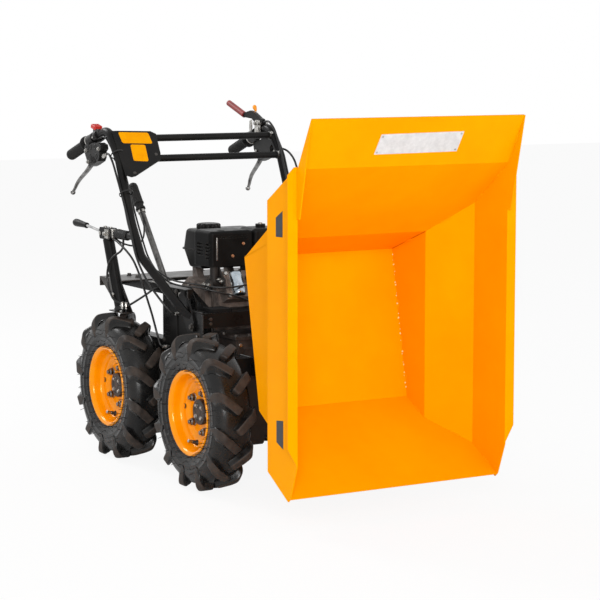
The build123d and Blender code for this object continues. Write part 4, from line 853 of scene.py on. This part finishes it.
def along_bar(distance, side=1):
    """A point on a bar's straight end, in millimetres from the grip's end."""
    place = grip_tip + bar_way * distance / 1000
    return Vector((place.x, side * place.y, place.z))


def bar_stand(distance, side=1):
    """A stand on a bar's straight end, its z along the bar."""
    way = Vector((bar_way.x, side * bar_way.y, bar_way.z))
    return facing(along_bar(distance, side), way)


for side, name in ((1, "left"), (-1, "right")):
    grip = bmesh.new()
    profile = [(0.0, 0.0), (0.0115, 0.0), (0.0145, 0.0012), (0.0158, 0.004)]
    for rib in range(24):
        along = 0.007 + rib * 0.0042
        profile += [(0.0150, along), (0.0152, along + 0.0010), (0.0161, along + 0.0017),
                    (0.0161, along + 0.0032)]
    profile += [(0.0150, 0.1085), (0.0165, 0.1115), (0.0222, 0.1118), (0.0230, 0.1130), (0.0230, 0.1166),
                (0.0220, 0.1180), (0.0130, 0.1180)]
    turned(grip, profile, 36, bar_stand(0, side))
    made = piece(f"ribbed_grip_{name}", grip, [grip_rubber], "chassis", sharp=50)
    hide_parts(f"grip_{name}")

bar_fittings = bmesh.new()
for side in (1, -1):
    # at each cross bar's ends, a round head on the tube and the weld that joins them
    for x_place, z_place in ((-525.8, 905), (-480, 850)):
        place = at(x_place, side * 250, z_place) + Vector((0.0098, 0, 0.0075))
        turned(bar_fittings, [(0.005, 0.0), (0.0046, 0.0016), (0.0028, 0.0026), (0, 0.0028)], 16,
               facing(place, (0.78, 0, 0.62)), 0)
        turned(bar_fittings, [(0.0098, 0.0), (0.0125, 0.0004), (0.0118, 0.0030), (0.0102, 0.0042)], 24,
               facing(at(x_place, side * 249.5, z_place), (0, -side, 0)), 1)
piece("bar_fittings", bar_fittings, [zinc_steel, weld_metal], "chassis")

# ---- Brake lever perches and levers ----
# Moulded black housings clamped on the bars beside the grips, each with a chromed blade lever
# that ends in a ball, and a knurled adjuster where the brake cable leaves.

# its edges lightened in patches: painted highlights along the edges
perch_black = surface("perch_black", (0.006, 0.006, 0.006), (0.012, 0.0115, 0.011), rough=(0.3, 0.45),
                      spec=0.22, patch=50, grain=1300, relief=0.35, relief_depth=0.0002, edge=0.0012,
                      painted_edge_shading=(0.05, 0.05, 0.048))
lever_chrome = surface("lever_chrome", (0.14, 0.137, 0.133), (0.34, 0.335, 0.33), rough=(0.14, 0.26),
                       metal=1.0, patch=70, grain=500, relief=0.2, edge=0.0)
dress(perch_black, "perch_left", "perch_right")


def swept(build, points, radius, sides=12, skin=0, flat=1.0):
    """Adds a round or flattened bar through points, its ends closed."""
    across = None
    rings = []
    for i, point in enumerate(points):
        way = (points[min(i + 1, len(points) - 1)] - points[max(i - 1, 0)]).normalized()
        across = Vector((0, 1, 0)) if across is None else across
        across = (across - way * across.dot(way)).normalized()
        other = way.cross(across)
        size = radius[i] if isinstance(radius, (list, tuple)) else radius
        rings.append([build.verts.new(point + across * size * math.cos(2 * math.pi * k / sides)
                                      + other * size * flat * math.sin(2 * math.pi * k / sides))
                      for k in range(sides)])
    bridge(build, rings, skin, capped=True)


perch_middle = along_bar(156)


def beside(side, ahead, above, out):
    """A point by a side's perch, in millimetres from its middle."""
    place = perch_middle + Vector((ahead, out, above)) / 1000
    return Vector((place.x, side * place.y, place.z))


adjuster_profile = [(0.0030, -0.004), (0.0046, -0.003), (0.0062, -0.002), (0.0062, 0.006), (0.0050, 0.007),
                    (0.0050, 0.010), (0.0042, 0.011), (0.0042, 0.018), (0.0032, 0.019)]
for side, name in ((1, "left"), (-1, "right")):
    fittings = bmesh.new()
    # round bosses and screws on the outer face
    for ahead, above, reach in ((14, -20, 0.0085), (33, -20, 0.0085), (28, -46, 0.0085),
                                (64, -18, 0.0080), (70, -44, 0.0080)):
        turned(fittings, [(reach, 0.0), (reach - 0.0006, 0.0012), (reach * 0.5, 0.0012),
                          (reach * 0.45, 0.0004), (0, 0.0004)], 20,
               facing(beside(side, ahead, above, 25), (0, side, 0)), 1)
    for ahead, above in ((6, -30), (18, -62), (90, -22)):
        bolt(fittings, beside(side, ahead, above, 25), (0, side, 0), across=0.008, head=0.004, washer=0.006)
    # the clamp's screw and the lever's pivot, seen from the machine's middle
    for ahead, above in ((-2, -10), (14, -44)):
        bolt(fittings, beside(side, ahead, above, 1), (0, -side, 0), across=0.008, head=0.004)
    # the cable's adjuster, and the clamp's band round the bar
    turned(fittings, adjuster_profile, 18, facing(beside(side, 99.6, -41.7, 13.8), (1, 0, 0.35)), 0)
    collar(fittings, 0.0190, 0.0197, 0.004, 0.0006, bar_stand(137, side), 40)
    # ribs moulded down the housing's outer face
    for count in range(4):
        stand = facing(beside(side, 36 + count * 9, -54, 25), (0, side, 0), roll=0.5)
        prism(fittings, cushion_outline(0.0032, 0.020, 0.0014, 3), 0.0, 0.0014, stand, 1)
    piece(f"perch_fittings_{name}", fittings, [zinc_steel, perch_black], "chassis")
    # the blade, wide where it leaves the housing, splayed outward and ending in its ball
    blade = bmesh.new()
    # the right lever hangs a little higher
    lift = 0 if side > 0 else 8
    stations = [(20, -60, 13.8, 7.6), (16.5, -67.5, 13.8, 8.8), (-4.4, -86.7 + lift * 0.2, 15.0, 8.2),
                (-47.4, -116.7 + lift * 0.5, 19.5, 7.0), (-66, -135 + lift * 0.75, 22.5, 6.0),
                (-76.4, -150.7 + lift, 24.6, 5.2), (-84, -159 + lift, 25.8, 4.8)]
    line = eased(stations, 4)
    swept(blade, [beside(side, *station[:3]) for station in line], [station[3] / 1000 for station in line],
          16, flat=0.58)
    turned(blade, [(0.0075 * math.sin(math.radians(turn)), -0.0075 * math.cos(math.radians(turn)))
                   for turn in range(0, 181, 10)], 24,
           Matrix.Translation(beside(side, -87.5, -163 + lift, 26.3)), 0)
    blade_piece = piece(f"brake_blade_{name}", blade, [lever_chrome], "chassis", sharp=60)
    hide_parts(f"brake_lever_{name}")

# ---- Clutch lever, its sleeve and the throttle ----
# A long pressed lever above the left grip, hinged in a plated saddle, with a dull red dipped sleeve.
# The thumb throttle, a wire with an orange teardrop knob, turns on the lever's side.

dress(black_powder_coat, "clutch_lever")
dipped_red = surface("dipped_red", (0.20, 0.022, 0.022), (0.32, 0.045, 0.040), spec=0.35, patch=50,
                     grain=600, relief=0.4, edge=0.0015)
dress(dipped_red, "clutch_sleeve")
clutch_middle = along_bar(213)
knob_orange = surface("knob_orange", (0.92, 0.30, 0.01), (1.0, 0.38, 0.02), rough=(0.25, 0.35), spec=0.4,
                      patch=80, grain=800, edge=0.0)
saddle = bmesh.new()
for aside in (-0.0165, 0.004):
    stand = facing(clutch_middle + Vector((-0.002, aside, 0.008)), (0, 1, 0))
    prism(saddle, cushion_outline(0.034, 0.044, 0.008), 0.0, 0.0025, stand, 0, chamfer=0.0005)
for ahead, above in ((-12, 20), (10, 20), (-2, -6)):
    for aside, facing_way, washer in ((-16.5, -1, 0.007), (6.5, 1, 0.0)):
        bolt(saddle, clutch_middle + Vector((ahead, aside, above)) / 1000, (0, facing_way, 0),
             across=0.009, head=0.005, washer=washer)
collar(saddle, 0.0186, 0.0195, 0.022, 0.001, bar_stand(201), 40)
# the plated tongue that hangs below the lever in front of the cross bar
tongue = [(-64, 26), (-52, 30), (-50, 8), (-54, -12), (-62, -12), (-66, 6)]
stand = Matrix.Translation(clutch_middle + Vector((0, -0.006, 0))) \
    @ Matrix.Rotation(math.radians(90), 4, "X")
prism(saddle, [(x / 1000, z / 1000) for x, z in tongue], 0.0, 0.003, stand, 0, chamfer=0.0006)
piece("clutch_saddle", saddle, [zinc_steel], "chassis")


def on_lever(ahead, above, out):
    """A point by the clutch lever, in millimetres from its hinge."""
    return clutch_middle + Vector((ahead, out - 5, above)) / 1000


throttle = bmesh.new()
turned(throttle, [(0.0070, -0.0015), (0.0070, 0.001), (0.006, 0.0015), (0.003, 0.0015), (0.003, 0.0028),
                  (0, 0.0028)], 24, facing(on_lever(-22, 33, 1.8), (0, 1, 0)), 0)
swept(throttle, [on_lever(-22, 33, 2.6), on_lever(-30, 42, 4.4), on_lever(-42, 54, 6.5),
                 on_lever(-47, 60, 7.2)], 0.0016, 10, 0)
knob_foot = on_lever(-42, 54, 6.5)
turned(throttle, [(0.0, -0.001), (0.0026, 0.0), (0.0034, 0.003), (0.0048, 0.008), (0.0060, 0.013),
                  (0.0063, 0.0165), (0.0055, 0.0200), (0.0034, 0.0222), (0.0, 0.0230)], 24,
       facing(knob_foot, on_lever(-55, 70, 8.0) - knob_foot), 1)
throttle_piece = piece("thumb_throttle", throttle, [zinc_steel, knob_orange], "chassis", sharp=50)
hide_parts("throttle_lever")

# ---- Stop switch ----
# The moulded engine switch, clamped round the right bar, with a red rocker on top.

cap_red = surface("cap_red", (0.48, 0.018, 0.012), (0.66, 0.035, 0.022), rough=(0.3, 0.42), spec=0.4,
                  patch=80, relief=0.25, edge=0.0010)
switch = bmesh.new()
switch_middle = along_bar(193, -1)
turned(switch, [(0.0127, 0.0), (0.0178, 0.0), (0.0185, 0.0010), (0.0185, 0.0170), (0.0178, 0.0180),
                (0.0127, 0.0180)], 40, bar_stand(184, -1), 0)
prism(switch, cushion_outline(0.042, 0.018, 0.004), 0.006, 0.020,
      Matrix.Translation(switch_middle + Vector((0.005, -0.003, 0))), 0, chamfer=0.0015)
rocker = Matrix.Translation(switch_middle + Vector((-0.010, -0.002, 0.026))) \
    @ Matrix.Rotation(math.radians(12), 4, "Y")
prism(switch, cushion_outline(0.032, 0.024, 0.004), -0.006, 0.0045, rocker, 1, chamfer=0.0012)
for along in (-0.009, -0.003, 0.003, 0.009):
    prism(switch, cushion_outline(0.0022, 0.019, 0.001, 3), 0.0040, 0.0058,
          rocker @ Matrix.Translation((along, 0, 0)), 1)
bolt(switch, switch_middle + Vector((0.0, -0.0185, -0.004)), (0, -1, 0), across=0.006, head=0.003, skin=2)
switch_piece = piece("engine_switch", switch, [perch_black, cap_red, zinc_steel], "chassis")
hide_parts("stop_switch")

# ---- Control plate ----
# A 3 mm black coated plate clipped to the front of the right bar and the cross bars.
# Two blank yellow labels are stuck on it.

dress(black_powder_coat, "control_panel")
label_yellow = surface("label_yellow", (0.95, 0.36, 0.0), (1.0, 0.42, 0.0), rough=(0.35, 0.45), spec=0.1,
                       patch=30, relief=0.1, edge=0.0, sheen_colour=(1.0, 0.6, 0.1))
# The ways down the plate and out of it, and its face's height over the cross bars' line
plate_way = Vector((0.634, 0, -0.773))
plate_out = Vector((0.773, 0, 0.634))
plate_face = 0.0158
labels = bmesh.new()


def on_plate(across_plate, down, lift=0.0):
    """A point on the plate's face: the drawing's y, the way down its slope, and a lift."""
    return at(-520, across_plate, 898) + plate_way * down / 1000 + plate_out * (plate_face + lift)


def label(build, corners, thick=0.0007):
    """Adds a thin label with its corners cut round."""
    outline = []
    for i, corner in enumerate(corners):
        before, after = corners[i - 1], corners[(i + 1) % len(corners)]
        here = Vector(corner)
        to_before = (Vector(before) - here).normalized()
        to_after = (Vector(after) - here).normalized()
        outline += [here + to_before * 5, here + to_before * 1.5 + to_after * 1.5, here + to_after * 5]
    bridge(build, [[build.verts.new(on_plate(point.x, point.y, lift)) for point in outline]
                   for lift in (0.0001, thick)], capped=True)


label(labels, [(-243.5, -20.8), (-151.2, -16.2), (-149.3, 22.5), (-241.5, 18)])
label(labels, [(-219.4, 23.5), (-173.7, 26), (-180.9, 83.9), (-226.3, 80.3)])
for across_plate, down in ((-236, 122), (-150, 60)):
    turned(labels, [(0.0050, 0.0), (0.0046, 0.0014), (0.0026, 0.0022), (0, 0.0024)], 18,
           facing(on_plate(across_plate, down), plate_out), 1)
piece("plate_labels", labels, [label_yellow, dark_fastener], "chassis")

# ---- Lever post and gear lever ----
# A tube on the deck's shelf that carries the gear change head, braced to the handlebar by a strut in
# a ribbed sleeve.  The lever is a chromed rod with a black tapered knob.

dress(black_powder_coat, "lever_post")
sleeve_black = surface("sleeve_black", (0.006, 0.006, 0.006), (0.014, 0.0135, 0.013), rough=(0.4, 0.6),
                       spec=0.3, patch=60, grain=700, relief=0.3, edge=0.0)
bright_rod = surface("bright_rod", (0.42, 0.42, 0.42), (0.62, 0.62, 0.62), rough=(0.12, 0.24), metal=1.0,
                     patch=60, grain=500, edge=0.0)
post_fittings = bmesh.new()
profile = [(0.0101, 0.0), (0.0130, 0.001)]
for ridge in range(24):
    along = 0.002 + ridge * 0.0032
    profile += [(0.0130, along), (0.0138, along + 0.0008), (0.0138, along + 0.0018),
                (0.0130, along + 0.0026)]
profile += [(0.0130, 0.080), (0.0101, 0.081)]
turned(post_fittings, profile, 28, facing(at(-503, -262, 640), (1, 0, 0)), 1)
# the plated block that clamps the sleeve in the head, with its pinch bolt
prism(post_fittings, cushion_outline(0.030, 0.026, 0.004), 0.0, 0.012,
      facing(at(-505, -262, 640), (1, 0, 0)), 0, chamfer=0.001)
slab(post_fittings, (-532, -284, 626), (-510, -279.6, 652), 0)
bolt(post_fittings, at(-521, -284, 639), (0, -1, 0), across=0.011, head=0.006, stud=0.004)
bolts(post_fittings, [(-563, -280, 638), (-540, -280, 638)], (0, -1, 0), across=0.010, head=0.005)
for x_place in (-560, -524):
    turned(post_fittings, [(0.0048, 0), (0.0048, 0.003), (0.0022, 0.003), (0.0022, 0.001), (0, 0.001)], 14,
           Matrix.Translation(at(x_place, -268, 655)), 0)
# the collar, sleeve and stub at the post's foot
post_foot = at(-460, -267.8, 424)
post_way = (at(-540, -267.8, 622) - post_foot).normalized()
collar(post_fittings, 0.0161, 0.0185, 0.011, 0.001, facing(post_foot + post_way * 0.002, post_way), skin=1)
bolt(post_fittings, at(-478, -284.5, 470), (0, -1, 0.1), across=0.010, head=0.005, washer=0.007)
turned(post_fittings, [(0.0045, 0.0), (0.0045, 0.018), (0.0036, 0.020), (0, 0.020)], 16,
       Matrix.Translation(at(-452, -272, 424)), 0)
piece("post_fittings", post_fittings, [zinc_steel, sleeve_black], "chassis")

gear = bmesh.new()
rod_line = [(-575.3, -270, 642), (-588, -270, 642), (-598, -281, 647), (-607, -292, 653),
            (-618, -298, 656), (-624, -298, 656.3)]
swept(gear, [Vector(point) for point in eased([tuple(at(*place)) for place in rod_line], 4)], 0.004, 14)
knob_profile = [(0.0, 0.0), (0.0062, 0.0), (0.0082, 0.0012), (0.0084, 0.004), (0.0074, 0.006),
                (0.0078, 0.009), (0.0088, 0.030), (0.0104, 0.055), (0.0112, 0.068), (0.0108, 0.076),
                (0.0086, 0.0820), (0.0050, 0.0855), (0.0, 0.0866)]
turned(gear, knob_profile, 28, facing(at(-618, -298, 656), (-88, 0, 4)), 1)
gear_piece = piece("gear_shift_lever", gear, [bright_rod, moulded_black], "chassis", sharp=50)
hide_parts("gear_lever")

# ---- Tipping lever ----
# A brushed steel rod on a cross shaft behind the engine, with a black flanged rubber handle.
# It frees the skip's catch, and a cable from its handle holds it locked.

brushed_rod = surface("brushed_rod", (0.10, 0.096, 0.092), (0.20, 0.195, 0.19), rough=(0.26, 0.4),
                      metal=1.0, patch=90, grain=700, relief=0.4, relief_depth=0.0003, edge=0.0006)
dress(brushed_rod, "tip_lever")
tip_start = at(-583, -144, 697)
tip_way = (at(-583, 0, 697) - at(-415, 0, 490)).normalized()
handle = bmesh.new()
profile = [(0.0092, 0.0003), (0.0134, 0.0003), (0.0142, 0.001), (0.0142, 0.0060), (0.0118, 0.0072),
           (0.0118, 0.0190), (0.0148, 0.0205), (0.0150, 0.0240), (0.0138, 0.0262)]
for ridge in range(10):
    along = 0.028 + ridge * 0.0052
    profile += [(0.0134, along), (0.0141, along + 0.0010), (0.0141, along + 0.0035)]
profile += [(0.0136, 0.0815), (0.0126, 0.0868), (0.0090, 0.0904), (0.0, 0.0913)]
turned(handle, profile, 32, facing(tip_start, tip_way))
handle_piece = piece("tip_handle", handle, [grip_rubber], "chassis", sharp=45)
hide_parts("tip_lever_grip")
tip_fittings = bmesh.new()
collar(tip_fittings, 0.0152, 0.0175, 0.006, 0.001, facing(at(-415, -150, 490), (0, 1, 0)))
bolt(tip_fittings, at(-415, -136, 490), (0, 1, 0), across=0.017, head=0.008, washer=0.014)
collar(tip_fittings, 0.0092, 0.0112, 0.0095, 0.0005, facing(tip_start - tip_way * 0.012, tip_way), 24)
piece("tip_lever_fittings", tip_fittings, [zinc_steel], "chassis")

# ---- Skip ----
# Folded from 3 mm steel sheet: a pan with a side panel welded along each edge, a flange folded
# round the mouth, and a guard at the back.  It is powder coated yellow-orange inside and out.

skip_paint = {"dark": (0.965, 0.345, 0.0), "light": (1.0, 0.385, 0.0), "rough": (0.30, 0.42), "spec": 0.03,
              "patch": 4.5, "grain": 1500, "relief": 0.12, "relief_depth": 0.0002,
              "sheen_colour": (1.0, 0.55, 0.03)}
# the skip's edges darkened in patches: painted shade along its edges
skip_coat = surface("skip_coat", edge=0.0010, painted_edge_shading=(0.62, 0.20, 0.01), **skip_paint)
# The same paint without softened edges, and so without the painted shade along them, for the thin ears
ear_coat = surface("ear_coat", edge=0.0, **skip_paint)
dress(skip_coat, "skip_pan", "skip_side_left", "skip_side_right", "skip_hinge")

# The pan's section down its middle, from the guard's top to the lip, on the inner face
pan_line = [(653, 997), (590, 878), (341, 690), (183, 632), (258, 247), (556, 84)]
skip_middle = Vector((420, 520))


def side_reach(x_place):
    """Half the skip's width inside, which flares out past the floor."""
    return 222 + max(0.0, min(1.0, (x_place - 341) / 104)) * 81


# the welds that hold the side panels: stitches inside the corner, seen as small raised beads
seams = bmesh.new()
stitch_spacing, stitch_half = 95, 14
for first, last in zip(pan_line, pan_line[1:]):
    first, last = Vector(first), Vector(last)
    run = (last - first).length
    way = (last - first) / run
    inward = Vector((-way.y, way.x))
    if (skip_middle - (first + last) / 2).dot(inward) < 0:
        inward = -inward
    stitches = max(1, int(run // stitch_spacing))
    for stitch in range(stitches):
        centre = (stitch + 0.5) / stitches * run
        for side in (1, -1):
            ends = []
            for reach in (centre - stitch_half, centre + stitch_half):
                here = first + way * reach + inward * 0.6
                ends.append(at(here.x, side * (side_reach(here.x) - 0.8), here.y))
            weld_bead(seams, *ends, 0.0026, step=0.0045)
# bright pale specks down the edge of the pan's floor: painted glints where the weld spots catch the light
painted_weld_glints = surface("painted_weld_glints", (1.0, 0.62, 0.16), (1.0, 0.80, 0.42), rough=(0.2, 0.3), patch=200,
                       edge=0.0)
for spot in range(26):
    along = 0.04 + spot * 0.036 + 0.010 * math.sin(spot * 2.9)
    size = 0.0019 + 0.0008 * math.sin(spot * 4.3)
    turned(seams, [(size, -0.0006), (size * 0.92, size * 0.45), (size * 0.5, size * 0.85), (0, size)], 10,
           facing(at(183 + 75 * along + 1.0, 220.6 - 1.2 * math.sin(spot * 1.7), 632 - 385 * along),
                  (0.7, -0.7, 0)), 1)
piece("skip_seam_welds_and_glints", seams, [skip_coat, painted_weld_glints], "skip")

# the side panels' rear corners run straight up past the bend of the pan's rear wall, as plain ears
ears = bmesh.new()
for side in (1, -1):
    skins = []
    for proud in (0.0, 3.0):
        skins.append([ears.verts.new(at(x_place, side * (side_reach(x_place) + proud), z_place))
                      for x_place, z_place in ((183, 631), (341, 689), (440, 792), (341, 737))])
    inner_skin, outer_skin = skins
    for corners in ((0, 1, 3), (1, 2, 3)):
        ears.faces.new([outer_skin[i] for i in corners])
        ears.faces.new([inner_skin[i] for i in reversed(corners)])
    for i in range(4):
        j = (i + 1) % 4
        ears.faces.new([inner_skin[i], inner_skin[j], outer_skin[j], outer_skin[i]])
piece("skip_side_ears", ears, [ear_coat], "skip")

# two dark decal bars on each outer side, their middles left bare, and the guard's blank plate
decal_blue = surface("decal_blue", (0.020, 0.022, 0.030), (0.034, 0.037, 0.048), rough=(0.32, 0.42),
                     spec=0.35, patch=30, relief=0.1, edge=0.0)
plate_grey = surface("plate_grey", (0.60, 0.60, 0.60), (0.72, 0.72, 0.72), rough=(0.28, 0.42), spec=0.4,
                     patch=60, relief=0.15, edge=0.0)
markings = bmesh.new()


def patch(build, corners, out, thick, skin):
    """Adds a thin plate between four corners, standing out along a direction."""
    bridge(build, [[build.verts.new(corner + out * lift) for corner in corners]
                   for lift in (0.0001, thick)], skin, capped=True)


for side in (1, -1):
    for corners in (((488, 712), (520, 713), (520, 776), (488, 758)),
                    ((490, 213), (522, 200), (522, 270), (490, 266))):
        patch(markings, [at(x_place, side * 306, z_place) for x_place, z_place in corners],
              Vector((0, side, 0)), 0.0005, 0)
# The guard's slope, as how far ahead it runs while it rises
guard_run, guard_rise = 63, 119
guard_way = Vector((guard_run, 0, guard_rise)).normalized()
guard_out = Vector((guard_way.z, 0, -guard_way.x))


def on_guard(y_place, z_place):
    """A point on the guard's inner face."""
    return at(590 + (z_place - 878) * guard_run / guard_rise, y_place, z_place)


corners = [on_guard(-105, 909), on_guard(132, 911), on_guard(136.7, 960.4), on_guard(-99.6, 957.4)]
patch(markings, corners, guard_out, 0.0012, 1)
for y_place, z_place in ((-99, 914), (126, 916), (130, 955), (-94, 952)):
    turned(markings, [(0.0026, 0.0), (0.0022, 0.0009), (0.0, 0.0012)], 14,
           facing(on_guard(y_place, z_place) + guard_out * 0.0012, guard_out), 2)
piece("skip_markings", markings, [decal_blue, plate_grey, zinc_steel], "skip")

# the washers on the hinge pin
hinge_fittings = bmesh.new()
for side in (1, -1):
    collar(hinge_fittings, 0.0102, 0.0160, 0.0026, 0.0002,
           facing(at(108, side * 99.5, 329), (0, side, 0)), 32)
piece("hinge_washers", hinge_fittings, [zinc_steel], "skip")

# ---- Control cables ----
# Bowden cables in smooth black sleeves, clipped along the right bar down to the gearbox, the brakes
# and the engine.  Six of the ends have a swaged ferrule, and black ties bundle them.

cable_black = surface("cable_black", (0.007, 0.007, 0.007), (0.013, 0.013, 0.013), rough=(0.26, 0.4),
                      spec=0.4, patch=40, grain=600, relief=0.2, edge=0.0)
tie_black = surface("tie_black", (0.008, 0.008, 0.008), (0.016, 0.016, 0.016), rough=(0.35, 0.5),
                    spec=0.35, patch=50, edge=0.0)
dress(cable_black, "cable_brake_left", "cable_brake_right", "cable_clutch", "cable_gear", "cable_lock",
      "cable_loop", "cable_post", "cable_stop", "cable_throttle")

ferrules = bmesh.new()
ferrule_profile = [(0.0031, 0.0), (0.0046, 0.0006), (0.0046, 0.010), (0.0052, 0.0112), (0.0052, 0.0135),
                   (0.0040, 0.0145), (0.0040, 0.020), (0.0031, 0.021)]
# each ferrule lies along the end of its cable, from a point on the cable to its tip
for foot, tip in (((-250, -212, 437), (-250, -184, 437)), ((-250, 212, 437), (-250, 184, 437)),
                  ((-272, 208, 496), (-272, 184, 496)), ((-328, -212, 336), (-328, -184, 336)),
                  ((-440, -274, 448), (-440, -274, 432)), ((-441, -262, 440), (-441, -262, 430))):
    way = at(*tip) - at(*foot)
    turned(ferrules, ferrule_profile, 16, facing(at(*tip) - way.normalized() * 0.022, way), 0)
piece("cable_ferrules", ferrules, [zinc_steel], "chassis")

# nylon ties pulled round a bundle, each with its locking head
ties = bmesh.new()
tie_width = 0.0045
for place, direction, radius in (((-468, -262, 448), (0.37, 0, 0.93), 0.0172),
                                 ((-430, -263, 756), (-0.54, 0, 0.84), 0.020),
                                 ((-492, -258, 862), (-0.65, 0, 0.76), 0.020)):
    stand = facing(at(*place), direction)
    turned(ties, [(radius - 0.0010, 0.0), (radius, 0.0003), (radius, tie_width - 0.0003),
                  (radius - 0.0010, tie_width)], 24, stand, closed=True)
    locking_head = stand @ Matrix.Translation((0, -radius - 0.0015, tie_width / 2)) \
        @ Matrix.Rotation(math.radians(90), 4, "X")
    prism(ties, cushion_outline(0.006, 0.0055, 0.001, 3), 0.0, 0.0045, locking_head)
piece("cable_ties", ties, [tie_black], "chassis")
